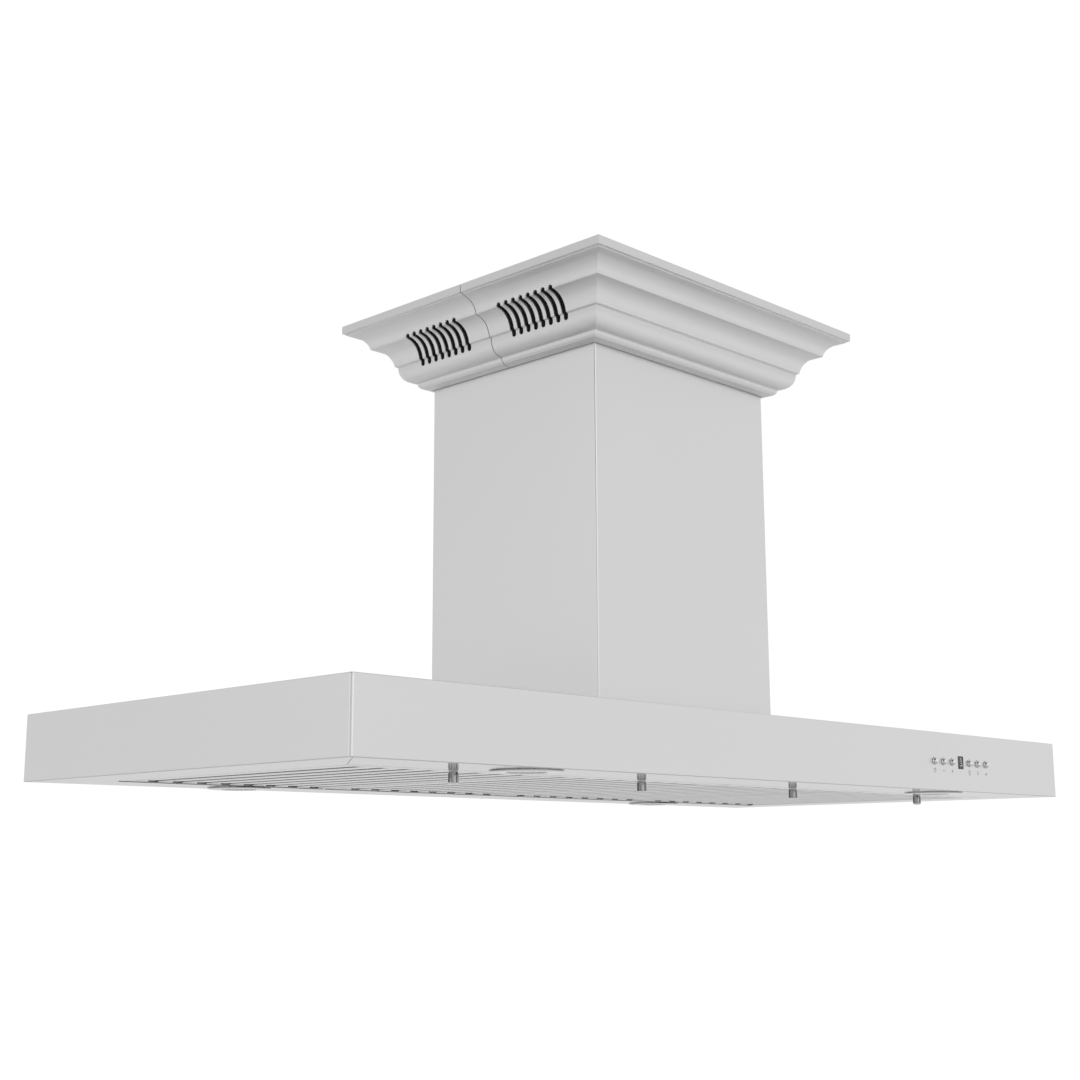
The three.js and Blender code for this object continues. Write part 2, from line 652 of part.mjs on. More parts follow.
const impeller = () => {
  const half = impellerWidth / 2;
  const ringInner = impellerRadius - impellerRing;
  const bore = shaftRadius + seat;
  const ring = (low) => rodX(impellerRadius, low, low + impellerRingSheet)
    .subtract(rodX(ringInner, low - over, low + impellerRingSheet + over));
  const disc = rodX(impellerRadius - 1, -1.2, 1.2);
  const hub = rodX(hubRadius, -3, 9, 12);
  const blade = new THREE.Shape();
  blade.moveTo(ringInner + 1, 0);
  blade.quadraticCurveTo(impellerRadius - 7, 1, impellerRadius - 1.5, 7);
  blade.lineTo(impellerRadius - 1.5, 8.4);
  blade.quadraticCurveTo(impellerRadius - 8, 2.6, ringInner + 1, 1.2);
  const blades = steps(impellerBlades).map((index) =>
    alongX(blade, -half + 1, half - 1, 1).rotate([360 * index / impellerBlades, 0, 0]));
  const body = join([ring(-half), ring(half - impellerRingSheet), disc, hub, ...blades]);
  return mesh('impeller', body.subtract(rodX(bore, -20, 20, 10)), galvanised);
};

const motor = () => {
  const front = motorBack + motorLength;
  const can = rodX(motorRadius, motorBack, front - motorNose);
  const nose = rodX(motorRadius - 12, front - motorNose - over, front, 24);
  const bore = rodX(shaftRadius + seat, motorBack + 8, front + over, 16);
  return mesh('motor', cut(join([can, nose]), [bore]), aluminium);
};

const motorShaft = () => mesh('motor_shaft', rodX(shaftRadius, motorBack + 9, 16, 16), polished);

const motorBracket = () => {
  const high = motorBack - seat;
  const low = high - bracketSheet;
  const half = bracketArmWidth / 2;
  const outer = rodX(inletRadius + 12, low, high).subtract(rodX(inletRadius + 2, low - over, high + over));
  const hub = rodX(motorRadius - 14, low, high, 24);
  const arms = steps(3).map((index) => block(low, high, -half, half, 10, inletRadius + half)
    .rotate([120 * index, 0, 0]));
  return mesh('motor_bracket', join([outer, hub, ...arms]), galvanised);
};

const runCapacitor = () => {
  const radius = capacitorRadius;
  const shoulder = capacitorHeight - 2;
  const x = boxLength / 2 - blowerBoxSheet - seat - radius;
  const y = -(boxDepth / 2 - blowerBoxSheet - seat - radius);
  const body = turned([[0, 0], [radius, 0], [radius, shoulder], [radius - 3, capacitorHeight],
    [0, capacitorHeight]]);
  return group([mesh('run_capacitor', body, aluminium)], x, y, boxFloor + capacitorLift);
};

// ---- Duct collar with two backdraught dampers on one pin ----
const ductCollar = () => {
  const inner = ductRadius - collarSheet;
  const flange = ductRadius + collarFlange;
  const body = turned([[inner, 0], [flange, 0], [flange, collarSheet], [ductRadius, collarSheet],
    [ductRadius, collarHeight], [inner, collarHeight]], 28);
  const pinHoles = rodX(pinRadius + pinFit, -flange, flange, 8).translate([0, 0, damperLift]);
  return mesh('duct_collar', body.subtract(pinHoles), galvanised);
};

const damperPin = () => {
  const body = rodX(pinRadius, -ductRadius - 1, ductRadius + 1, 12).translate([0, 0, damperLift]);
  return mesh('damper_pin', body, polished);
};

const damperFlap = (name, side) => {
  const radius = ductRadius - collarSheet - damperGap;
  const disc = rod(radius, damperLift - damperSheet / 2, damperLift + damperSheet / 2, 28);
  const near = pinRadius + seat;
  const far = radius + over;
  const [y0, y1] = side < 0 ? [-far, -near] : [near, far];
  return mesh(name, disc.intersect(block(-far, far, y0, y1, 0, collarHeight)), aluminium);
};

// ---- Wiring boxes ----
const junctionBox = () => {
  const [x0, y0] = [junctionBoxX, junctionBoxY];
  const [length, depth, height] = junctionBoxSize;
  const lap = junctionLidLap;
  const base = boxTop + seat;
  const top = base + height;
  const body = block(x0, x0 + length, y0, y0 + depth, base, top);
  const lid = block(x0 - lap, x0 + length + lap, y0 - lap, y0 + depth + lap, top - 6, top - 4);
  const gland = turned([[5.5, 0], [11, 0], [11, 5], [8.5, 5.6], [8.5, 12], [9.8, 12.6], [9.8, 18], [7, 21],
    [5.5, 21]], 10);
  return [
    mesh('junction_box', join([body, lid]), galvanised),
    group([mesh('cable_gland', gland, greyPlastic)], x0 + length / 2, y0 + depth / 2, top + seat),
  ];
};

const ledDriver = () => {
  const x0 = -canopyLength / 2 + canopySheet + 6;
  const base = canopySheet + seat;
  const half = ledDriverLength / 2;
  const reach = half + ledDriverLug;
  const body = block(x0, x0 + ledDriverWidth, -half, half, base, base + ledDriverHeight);
  const lugs = block(x0 + 12, x0 + ledDriverWidth - 12, -reach, reach, base, base + 2);
  return mesh('led_driver', join([body, lugs]), greyPlastic);
};

// ---- Assembly ----
const blower = group([blowerScroll(), motor(), motorShaft(), motorBracket(), impeller()],
  0, blowerAxisY, blowerAxisZ);
const outlet = group([ductCollar(), damperPin(), damperFlap('damper_flap_front', -1),
  damperFlap('damper_flap_rear', 1)], 0, ductY, collarFoot);

const canopyGroup = group([
  canopyShell(), filterRail('filter_rail_front', -1), filterRail('filter_rail_rear', 1), filterSet(),
  lampPlaces.map((place, index) => lamp(index + 1, place)), controls(), ledDriver(),
  lowerChimney(), lowerStruts(), blowerBox(), blower, runCapacitor(), outlet, junctionBox(),
], 0, 0, -overallHeight);

export default group([
  ceilingPlate(), upperStruts(), upperChimney(), crown(), speakers(), amplifier(), canopyGroup,
]);
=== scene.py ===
"""Finished surfaces for an island range hood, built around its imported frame."""
import math

import bmesh
import bpy
from mathutils import Matrix, Vector


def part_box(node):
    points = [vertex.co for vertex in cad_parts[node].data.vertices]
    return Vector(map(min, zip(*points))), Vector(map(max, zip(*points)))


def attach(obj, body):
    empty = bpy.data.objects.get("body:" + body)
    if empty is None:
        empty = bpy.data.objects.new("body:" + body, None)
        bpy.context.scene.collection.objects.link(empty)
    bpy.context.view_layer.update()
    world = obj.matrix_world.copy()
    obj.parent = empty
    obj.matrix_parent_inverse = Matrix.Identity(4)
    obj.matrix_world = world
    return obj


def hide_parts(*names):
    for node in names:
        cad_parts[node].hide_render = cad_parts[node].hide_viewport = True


bl_info = {
    "name": "Island range hood",
    "version": (1, 0, 0),
    "blender": (4, 5, 0),
    "location": "View3D > Sidebar > Hood",
    "description": "Builds the visible pieces of an island range hood around its frame",
    "category": "Object",
}

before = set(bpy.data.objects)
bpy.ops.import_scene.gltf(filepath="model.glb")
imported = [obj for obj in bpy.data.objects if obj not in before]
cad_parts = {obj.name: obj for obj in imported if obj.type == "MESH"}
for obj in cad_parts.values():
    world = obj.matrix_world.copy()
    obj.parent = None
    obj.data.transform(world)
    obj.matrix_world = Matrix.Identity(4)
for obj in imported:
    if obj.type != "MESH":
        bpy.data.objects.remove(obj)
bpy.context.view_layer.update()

MM = 0.001
SIDES = (-1, 1)


def size_of(node):
    """The lowest corner, the highest corner and the middle of a frame node."""
    low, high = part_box(node)
    return low, high, (low + high) / 2


CANOPY_LOW, CANOPY_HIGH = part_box("canopy_shell")
CROWN_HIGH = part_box("crown_rear_half")[1]
FILTER_LOW, FILTER_HIGH, FILTER_MID = size_of("baffle_filter_1")
FILTER_PITCH = (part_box("baffle_filter_4")[1].x - FILTER_HIGH.x) / 3
BEZEL_LOW, BEZEL_HIGH, BEZEL_MID = size_of("lamp_bezel_1")
FILTER_NUMBERS = (1, 2, 3, 4)
LAMP_NUMBERS = (1, 2, 3, 4)
BUTTON_NUMBERS = (1, 2, 3, 4, 5, 6)


def length(name, description, default):
    """A size that a user can set, in metres."""
    return bpy.props.FloatProperty(name=name, description=description, default=default,
                                   precision=5, unit="LENGTH", subtype="DISTANCE")


def count(name, description, default):
    """A number of like features."""
    return bpy.props.IntProperty(name=name, description=description, default=default, min=1)


def tone(name, description, value):
    """A colour that a user can set."""
    return bpy.props.FloatVectorProperty(name=name, description=description, subtype="COLOR",
                                         size=3, min=0, max=1, default=value)


def share(name, description, default):
    """A plain factor from 0 to 1."""
    return bpy.props.FloatProperty(name=name, description=description, default=default,
                                   min=0, max=1, subtype="FACTOR")


class HoodSizes(bpy.types.PropertyGroup):
    """Sizes of the sheet metal and of the small parts."""
    sheet: length("Canopy sheet", "Thickness of the canopy's sheet", 1.2 * MM)
    corner: length("Corner bend", "Outside radius of the canopy's upright corners", 3 * MM)
    bend: length("Edge bend", "Outside radius of the canopy's long bends", 1.0 * MM)
    end_flange: length("End flange", "Width of the underside flange at the short ends", 64 * MM)
    long_flange: length("Long flange", "Width of the underside flange along the fronts", 78 * MM)
    return_lip: length("Return lip", "Height of the lip folded up round the filters", 6 * MM)
    mitre_slit: length("Mitre slit", "Gap between the flanges where they meet", 0.5 * MM)
    slit_start: length("Slit start", "Outer end of a mitre slit, from the short side", 4 * MM)
    slit_edge: length("Slit edge", "Outer end of a mitre slit, from the long side", 1.6 * MM)
    slit_skew: length("Slit skew", "Inner end of a mitre slit, past the opening's corner", 5.5 * MM)
    throat: length("Throat margin", "Canopy throat inside the blower box, all round", 14 * MM)
    chimney_sheet: length("Chimney sheet", "Thickness of the chimney's sheet", 1.0 * MM)
    chimney_corner: length("Chimney corner", "Outside radius of the chimney's corners", 2.2 * MM)
    crown_sheet: length("Crown sheet", "Thickness of the crown moulding", 1.4 * MM)
    crown_split: length("Crown split", "Gap between the crown's two halves", 1.0 * MM)
    slot_width: length("Slot width", "Width of a loudspeaker slot", 6.6 * MM)
    slot_pitch: length("Slot pitch", "Distance between loudspeaker slots", 11.9 * MM)
    slot_top: length("Slot top", "Upper end of a slot, below the ceiling", 25.7 * MM)
    slot_foot: length("Slot foot", "Lower end of a slot, below the ceiling", 61 * MM)
    slot_start: length("Slot start", "First slot's distance from the split", 38 * MM)
    slot_count: count("Slots", "Loudspeaker slots in a group", 8)
    baffle_count: count("Baffle gaps", "Gaps in each filter", 8)
    baffle_gap: length("Baffle gap", "Width of a gap between two baffles", 11.3 * MM)
    baffle_sheet: length("Baffle sheet", "Thickness of the baffles", 0.9 * MM)
    baffle_lip: length("Baffle lip", "Height of the folded edges of a baffle", 2.6 * MM)
    filter_end: length("Filter end rail", "Width of a filter's front and rear rails", 20 * MM)
    filter_side: length("Filter side rail", "Width of a filter's side rails", 7 * MM)
    # Painted shade: the three sizes below place black blocks at the rear ends of the filters' gaps
    # and a black strip under the rear rail, where there is only shade.
    shade_block_depth: length("Drain depth", "Thickness of the black plug at the end of a gap", 1.2 * MM)
    shade_block_foot: length("Drain foot", "How far plugs and seal stand below the filter", 0.4 * MM)
    shade_block_height: length("Drain height", "Top of a plug above the filter's lower face", 7 * MM)
    filter_bend: length("Filter bend", "Rounded edge of the filter frame", 0.9 * MM)
    filter_seam: length("Filter seam", "Width of a seam at the frame's corners", 0.24 * MM)
    lamp_bore: length("Lamp bore", "Radius of a lamp's hole in the flange", 30 * MM)
    knob_flutes: count("Knob flutes", "Flutes round a filter knob", 8)
    flute_depth: length("Flute depth", "Depth of a knob's flutes", 0.8 * MM)
    button_flange: length("Button flange", "Flange behind the fascia, past the button", 1.4 * MM)
    button_fit: length("Button fit", "Gap round a button", 0.3 * MM)
    display_fit: length("Display fit", "Gap round the display", 0.25 * MM)
    display_frame: length("Display frame", "Width of the rim round the display", 1.1 * MM)
    display_sink: length("Display sink", "Depth of the display's face behind its rim", 0.16 * MM)
    mark_drop: length("Mark drop", "Button centre to the mark under it", 11.2 * MM)
    mark_size: length("Mark size", "Height of a mark", 5.2 * MM)


class HoodFinishes(bpy.types.PropertyGroup):
    """Colours and gloss of the finishes."""
    stainless: tone("Stainless", "Brushed stainless steel", (0.672, 0.672, 0.672))
    baffle: tone("Baffle steel", "Filters, a little duller", (0.62, 0.62, 0.62))
    polished: tone("Polished steel", "Knobs, buttons and lamp rings", (0.74, 0.74, 0.745))
    galvanised: tone("Galvanised steel", "Hidden brackets and boxes", (0.46, 0.48, 0.49))
    aluminium: tone("Aluminium", "Motor can and damper flaps", (0.62, 0.63, 0.64))
    black: tone("Black plastic", "Housing, drains, cones and cloth", (0.012, 0.012, 0.013))
    grey: tone("Grey plastic", "Wiring boxes", (0.16, 0.165, 0.17))
    lens: tone("Lamp lens", "Frosted lamp lens, lamps off", (0.42, 0.42, 0.41))
    glass: tone("Display glass", "Dark display window", (0.014, 0.016, 0.018))
    digits: tone("Display digits", "Light segments behind the glass", (0.93, 0.95, 0.96))
    marks: tone("Printed marks", "Marks under the buttons", (0.30, 0.30, 0.30))
    satin: share("Satin roughness", "Roughness of the brushed faces", 0.34)
    crown: share("Crown roughness", "Roughness of the crown moulding", 0.55)
    under: share("Underside roughness", "Roughness of the faces that look down", 0.13)
    # Painted shade: the filters keep this share of their colour above their lowest part, where the
    # gaps lie in shadow.
    painted_gap_shade: share("Gap darkness", "Brightness left inside the filters' gaps", 0.08)
    # Painted shade: knobs above their foot and lamp rings above their lowest part keep this share
    # of their colour.
    painted_recess_shade: share("Recess darkness", "Brightness left in flutes and on the edges of rings", 0.42)
    # Painted light: the crown's faces that look down get a colour this many times brighter.
    hollow: bpy.props.FloatProperty(
        name="Painted hollow light", default=1.3, min=0, max=2,
        description="How many times brighter the crown's hollows are than its flats")


# ---- Shader maths ----
class Signal:
    """One value travelling through a material's nodes, with arithmetic."""

    def __init__(self, recipe, socket):
        self.recipe = recipe
        self.socket = socket

    def math(self, operation, first, second=None):
        inputs = {0: first} if second is None else {0: first, 1: second}
        return self.recipe.node("ShaderNodeMath", {"operation": operation}, inputs)

    def __add__(self, other):
        return self.math("ADD", self, other)

    def __sub__(self, other):
        return self.math("SUBTRACT", self, other)

    def __rsub__(self, other):
        return self.math("SUBTRACT", other, self)

    def __mul__(self, other):
        return self.math("MULTIPLY", self, other)

    def __abs__(self):
        return self.math("ABSOLUTE", self)

    def __gt__(self, other):
        return self.math("GREATER_THAN", self, other)

    __radd__ = __add__
    __rmul__ = __mul__


class Recipe:
    """The nodes of one material."""

    def __init__(self, name):
        self.material = bpy.data.materials.new(name)
        self.material.use_nodes = True
        self.tree = self.material.node_tree
        self.shader = self.tree.nodes["Principled BSDF"]
        self.place = Signal(self, self.tree.nodes.new("ShaderNodeTexCoord").outputs["Object"])

    def plug(self, socket, value):
        """Sets a socket, or links a signal to it."""
        if isinstance(value, Signal):
            self.tree.links.new(value.socket, socket)
        else:
            socket.default_value = value

    def node(self, kind, settings, inputs, output=0):
        """Adds a node: its settings first, then the values or links of its sockets."""
        node = self.tree.nodes.new(kind)
        for key, value in settings.items():
            if key == "stops":
                ramp = node.color_ramp
                while len(ramp.elements) < len(value):
                    ramp.elements.new(1)
                for element, (position, grey) in zip(ramp.elements, value):
                    element.position = position
                    element.color = (grey, grey, grey, 1)
            else:
                setattr(node, key, value)
        for key, value in inputs.items():
            self.plug(node.inputs[key], value)
        return Signal(self, node.outputs[output])

    def coordinate(self, output):
        return self.node("ShaderNodeTexCoord", {}, {}, output)

    def axis(self, vector, name):
        """The X, Y or Z of a vector."""
        return self.node("ShaderNodeSeparateXYZ", {}, {0: vector}, name)

    def stretch(self, scale):
        """The object coordinates times a scale along each axis."""
        return self.node("ShaderNodeVectorMath", {"operation": "MULTIPLY"},
                         {0: self.place, 1: scale})

    def noise(self, scale, vector=None, detail=2.0, rough=0.5):
        return self.node("ShaderNodeTexNoise", {},
                         {"Vector": vector or self.place, "Scale": scale, "Detail": detail,
                          "Roughness": rough}, "Fac")

    def mix(self, factor, first, second):
        """A value between two others."""
        return self.node("ShaderNodeMix", {"data_type": "FLOAT"},
                         {0: factor, 2: first, 3: second}, 0)

    def blend(self, factor, first, second):
        """A colour between two others, each a signal or four numbers."""
        return self.node("ShaderNodeMix", {"data_type": "RGBA"},
                         {0: factor, 6: first, 7: second}, 2)

    def tint(self, factor, dark, light):
        """A colour between two fixed ones."""
        return self.blend(factor, (*dark, 1), (*light, 1))

    def soften(self, value, low, high):
        """0 under low, 1 over high, and a smooth step between."""
        return self.node("ShaderNodeMapRange", {"interpolation_type": "SMOOTHSTEP"},
                         {"Value": value, "From Min": low, "From Max": high}, 0)

    def bump(self, height, strength, distance):
        return self.node("ShaderNodeBump", {}, {"Height": height, "Strength": strength,
                                                "Distance": distance}, "Normal")

    def finish(self, **inputs):
        """Sets the shader's sockets by name, with underscores for spaces."""
        for key, value in inputs.items():
            self.plug(self.shader.inputs[key.replace("_", " ")], value)
        return self.material


def times(colour, factor):
    """A colour made darker or lighter."""
    return tuple(c * factor for c in colour)


def shades(colour, down, up):
    """A darker and a lighter version of a colour."""
    return times(colour, down), tuple(min(1, c) for c in times(colour, up))


def brushed_steel(name, lengthwise, colour, satin, under, shade=None, lift=None):
    """Brushed sheet: fine lines along `lengthwise`, or along Y on faces that look along X.
    `shade` is a height and the brightness that is left above it: painted shade, as inside a
    filter's gaps. Faces that look down are `lift` times as bright: painted light, a brighter
    colour that stands in for the light reflected into a moulding's hollows."""
    recipe = Recipe(name)
    facing = recipe.coordinate("Normal")
    sideways = recipe.axis(facing, "X")
    down = recipe.axis(facing, "Z") * -1.0
    fine, coarse = 2600.0, 5.0
    along = {"X": (coarse, fine, fine), "Y": (fine, coarse, fine), "Z": (fine, fine, coarse)}
    lines = recipe.noise(1.0, recipe.stretch(along[lengthwise]), 3.0, 0.6)
    if lengthwise == "X":
        ends = recipe.noise(1.0, recipe.stretch(along["Y"]), 3.0, 0.6)
        lines = recipe.mix(abs(sideways) > 0.7, lines, ends)
    cloud = recipe.noise(2.6, None, 2.0, 0.5)
    smudge = recipe.noise(19.0, None, 4.0, 0.6)
    rough = recipe.mix(recipe.soften(down, 0.55, 0.9), satin, under)
    rough = rough + (lines - 0.5) * 0.10 + (smudge - 0.5) * 0.035
    dark, light = shades(colour, 0.955, 1.045)
    grain = lines * 0.62 + cloud * 0.3 + smudge * 0.08
    body = recipe.tint(grain, dark, light)
    # Painted light: faces that look down get a brighter colour, for the light reflected into
    # hollows.
    if lift is not None:
        hollow = recipe.tint(grain, times(dark, lift), times(light, lift))
        body = recipe.blend(recipe.soften(down, 0.05, 0.7), body, hollow)
    # Painted shade: above the given height the colour darkens, as inside a filter's gaps.
    if shade is not None:
        height, left = shade
        inside = recipe.soften(recipe.axis(recipe.place, "Z"), height, height + 0.5 * MM)
        body = recipe.blend(inside, body, (*times(colour, left), 1))
    return recipe.finish(Base_Color=body, Metallic=1.0, Roughness=rough,
                         Normal=recipe.bump(lines, 0.10, 0.00006))


def polished_steel(name, colour, shade=None):
    """Bright turned metal with the faint rings of its polishing. `shade` is a height and the
    brightness that is left above it: painted shade, as on a knob's flutes and on a ring's edge."""
    recipe = Recipe(name)
    haze = recipe.noise(160.0, None, 3.0, 0.6)
    rings = recipe.noise(1.0, recipe.stretch((900.0, 900.0, 2400.0)), 2.0, 0.5)
    dark, light = shades(colour, 0.97, 1.03)
    body = recipe.tint(haze, dark, light)
    # Painted shade: above the given height the colour darkens.
    if shade is not None:
        height, left = shade
        above = recipe.soften(recipe.axis(recipe.place, "Z"), height, height + 0.4 * MM)
        body = recipe.blend(above, body, (*times(colour, left), 1))
    return recipe.finish(Base_Color=body, Metallic=1.0, Roughness=haze * 0.05 + 0.05,
                         Normal=recipe.bump(rings, 0.05, 0.00003))


def galvanised_steel(name, colour):
    """Zinc coating with its crystal flowers."""
    recipe = Recipe(name)
    flowers = recipe.node("ShaderNodeTexVoronoi", {}, {"Vector": recipe.place, "Scale": 95.0},
                          "Color")
    flower = recipe.axis(flowers, "X")
    dull = recipe.noise(40.0, None, 4.0, 0.6)
    dark, light = shades(colour, 0.82, 1.16)
    return recipe.finish(Base_Color=recipe.tint(flower * 0.7 + dull * 0.3, dark, light),
                         Metallic=1.0, Roughness=flower * 0.16 + dull * 0.1 + 0.34,
                         Normal=recipe.bump(dull, 0.12, 0.0001))


def mill_aluminium(name, colour):
    """Plain rolled or spun aluminium."""
    recipe = Recipe(name)
    roll = recipe.noise(1.0, recipe.stretch((60.0, 1400.0, 1400.0)), 3.0, 0.6)
    cloud = recipe.noise(24.0, None, 3.0, 0.6)
    dark, light = shades(colour, 0.92, 1.06)
    return recipe.finish(Base_Color=recipe.tint(roll * 0.6 + cloud * 0.4, dark, light),
                         Metallic=1.0, Roughness=roll * 0.12 + 0.34,
                         Normal=recipe.bump(roll, 0.08, 0.00006))


def moulded_plastic(name, colour, rough, grain):
    """Moulded plastic with a fine spark-eroded grain."""
    recipe = Recipe(name)
    pits = recipe.noise(grain, None, 3.0, 0.65)
    cloud = recipe.noise(30.0, None, 2.0, 0.5)
    dark, light = shades(colour, 0.85, 1.2)
    return recipe.finish(Base_Color=recipe.tint(cloud * 0.5 + pits * 0.5, dark, light),
                         Roughness=pits * 0.16 + rough - 0.08,
                         Normal=recipe.bump(pits, 0.25, 0.00012))


def speaker_paper(name, colour):
    """Pressed black cone paper."""
    recipe = Recipe(name)
    pulp = recipe.noise(420.0, None, 5.0, 0.7)
    dark, light = shades(colour, 0.7, 1.5)
    return recipe.finish(Base_Color=recipe.tint(pulp, dark, light), Roughness=pulp * 0.15 + 0.72,
                         Normal=recipe.bump(pulp, 0.5, 0.0002))


def woven_cloth(name, colour):
    """Black acoustic cloth with its open weave."""
    recipe = Recipe(name)
    weave = recipe.node("ShaderNodeTexVoronoi", {}, {"Vector": recipe.place, "Scale": 900.0},
                        "Distance")
    fluff = recipe.noise(260.0, None, 3.0, 0.6)
    dark, light = shades(colour, 0.5, 1.6)
    return recipe.finish(Base_Color=recipe.tint(weave * fluff * 2.0, dark, light),
                         Roughness=weave * 0.1 + 0.85, Specular_IOR_Level=0.1,
                         Normal=recipe.bump(weave, 0.4, 0.0002))


def frosted_glass(name, colour):
    """Lamp lens of frosted glass with a prismatic back, seen unlit."""
    recipe = Recipe(name)
    frost = recipe.noise(700.0, None, 3.0, 0.6)
    prisms = recipe.node("ShaderNodeTexVoronoi", {}, {"Vector": recipe.place, "Scale": 420.0},
                         "Distance")
    dark, light = shades(colour, 0.86, 1.12)
    return recipe.finish(Base_Color=recipe.tint(prisms * 1.4, dark, light),
                         Roughness=frost * 0.14 + 0.18, Coat_Weight=0.5, Coat_Roughness=0.06,
                         Normal=recipe.bump(prisms, 0.25, 0.0002))


def dark_glass(name, colour):
    """Smoked glass over the display."""
    recipe = Recipe(name)
    wipe = recipe.noise(90.0, None, 3.0, 0.6)
    dark, light = shades(colour, 0.8, 1.3)
    return recipe.finish(Base_Color=recipe.tint(wipe, dark, light), Roughness=wipe * 0.05 + 0.06,
                         Coat_Weight=0.3, Coat_Roughness=0.03)


def printed_ink(name, colour, grain):
    """Screen-printed ink, a little uneven."""
    recipe = Recipe(name)
    patch = recipe.noise(grain, None, 3.0, 0.6)
    dark, light = shades(colour, 0.86, 1.12)
    return recipe.finish(Base_Color=recipe.tint(patch, dark, light),
                         Roughness=patch * 0.2 + 0.45)


def studio_paper(name):
    """The pale studio floor."""
    recipe = Recipe(name)
    tooth = recipe.noise(60.0, None, 4.0, 0.6)
    body = recipe.tint(tooth, (0.86, 0.86, 0.86), (0.9, 0.9, 0.9))
    return recipe.finish(Base_Color=body, Roughness=tooth * 0.1 + 0.75,
                         Normal=recipe.bump(tooth, 0.05, 0.0005))


def finish_named(key):
    """The finish of a material slot, made the first time it is asked for."""
    if key in bpy.data.materials:
        return bpy.data.materials[key]
    look = bpy.context.scene.hood_finishes
    steel, bright = tuple(look.stainless), tuple(look.polished)
    satin, under = look.satin, look.under
    knob_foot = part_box("filter_knob_1")[0].z
    recipes = {
        "steel_sheet": lambda: brushed_steel(key, "X", steel, satin, under),
        "steel_chimney": lambda: brushed_steel(key, "X", steel, satin, satin),
        # The filters get painted shade above their lowest part, for the dark inside of their gaps.
        "steel_baffle": lambda: brushed_steel(key, "Y", tuple(look.baffle), satin, under,
                                              shade=(FILTER_LOW.z + 0.6 * MM, look.painted_gap_shade)),
        # The crown gets painted light: its faces that look down are brighter in colour.
        "steel_crown": lambda: brushed_steel(key, "X", steel, look.crown, look.crown,
                                             lift=look.hollow),
        "steel_polished": lambda: polished_steel(key, bright),
        # Painted shade on the lamp rings' outer walls and on the knobs' fluted sides.
        "steel_ring": lambda: polished_steel(key, bright, (BEZEL_LOW.z + 0.9 * MM, look.painted_recess_shade)),
        "steel_fluted": lambda: polished_steel(key, bright, (knob_foot + 1.2 * MM, look.painted_recess_shade)),
        "zinc": lambda: galvanised_steel(key, tuple(look.galvanised)),
        "alloy": lambda: mill_aluminium(key, tuple(look.aluminium)),
        "plastic_black": lambda: moulded_plastic(key, tuple(look.black), 0.5, 900.0),
        "plastic_grey": lambda: moulded_plastic(key, tuple(look.grey), 0.5, 700.0),
        "cone_paper": lambda: speaker_paper(key, tuple(look.black)),
        "cloth_black": lambda: woven_cloth(key, tuple(look.black)),
        "lens_frosted": lambda: frosted_glass(key, tuple(look.lens)),
        "glass_dark": lambda: dark_glass(key, tuple(look.glass)),
        "ink_digits": lambda: printed_ink(key, tuple(look.digits), 900.0),
        "ink_marks": lambda: printed_ink(key, tuple(look.marks), 900.0),
        "paper_floor": lambda: studio_paper(key),
    }
    return recipes[key]()


def coat(obj, key):
    """Gives a piece one finish all over."""
    obj.data.materials.clear()
    obj.data.materials.append(finish_named(key))


# ---- Modelling by hand ----
def take(obj):
    """Makes a piece the only selected one, in object mode."""
    if bpy.context.mode != "OBJECT":
        bpy.ops.object.mode_set(mode="OBJECT")
    bpy.ops.object.select_all(action="DESELECT")
    obj.select_set(True)
    bpy.context.view_layer.objects.active = obj


def added(name):
    """The primitive just added, renamed, alone and selected."""
    obj = bpy.context.active_object
    obj.name = name
    obj.data.name = name
    take(obj)
    return obj


def settle(obj):
    """Puts a piece's place, turn and scale into its mesh."""
    take(obj)
    bpy.ops.object.transform_apply(location=True, rotation=True, scale=True)


def box(name, low, high):
    """A block between two corners, to be shaped further."""
    bpy.ops.object.select_all(action="DESELECT")
    middle = [(a + b) / 2 for a, b in zip(low, high)]
    bpy.ops.mesh.primitive_cube_add(size=1, location=middle,
                                    scale=[b - a for a, b in zip(low, high)])
    obj = added(name)
    settle(obj)
    return obj


def pick(obj, kind, test):
    """In edit mode, selects only what passes the test: faces by middle and normal, edges by
    their two ends, vertices by their place."""
    if bpy.context.mode != "EDIT_MESH":
        take(obj)
        bpy.ops.object.mode_set(mode="EDIT")
    bpy.ops.mesh.select_mode(type=kind)
    bpy.ops.mesh.select_all(action="DESELECT")
    mesh = bmesh.from_edit_mesh(obj.data)
    mesh.normal_update()
    if kind == "FACE":
        chosen = [face for face in mesh.faces if test(face.calc_center_median(), face.normal)]
    elif kind == "EDGE":
        chosen = [edge for edge in mesh.edges if test(edge.verts[0].co, edge.verts[1].co)]
    else:
        chosen = [vertex for vertex in mesh.verts if test(vertex.co)]
    for part in chosen:
        part.select = True
    mesh.select_flush_mode()
    bmesh.update_edit_mesh(obj.data)
    if not chosen:
        raise RuntimeError(f"{obj.name}: nothing there to select")


def leave():
    """Goes back to object mode."""
    bpy.ops.object.mode_set(mode="OBJECT")


def apply(obj, kind, **settings):
    """Adds a modifier with its settings and applies it."""
    take(obj)
    modifier = obj.modifiers.new(kind.lower(), kind)
    for key, value in settings.items():
        setattr(modifier, key, value)
    bpy.ops.object.modifier_apply(modifier=modifier.name)


def cut_out(obj, cutter):
    """Takes the cutter's shape out of a piece."""
    apply(obj, "BOOLEAN", operation="DIFFERENCE", solver="EXACT", object=cutter)
    bpy.data.objects.remove(cutter)


def joined(name, pieces):
    """Several pieces made one mesh."""
    bpy.ops.object.select_all(action="DESELECT")
    for piece in pieces:
        piece.select_set(True)
    bpy.context.view_layer.objects.active = pieces[0]
    if len(pieces) > 1:
        bpy.ops.object.join()
    return added(name)


def copied(obj, name, shift):
    """A copy with its own mesh, moved."""
    take(obj)
    bpy.ops.object.duplicate(linked=False)
    twin = added(name)
    twin.location = shift
    settle(twin)
    return twin


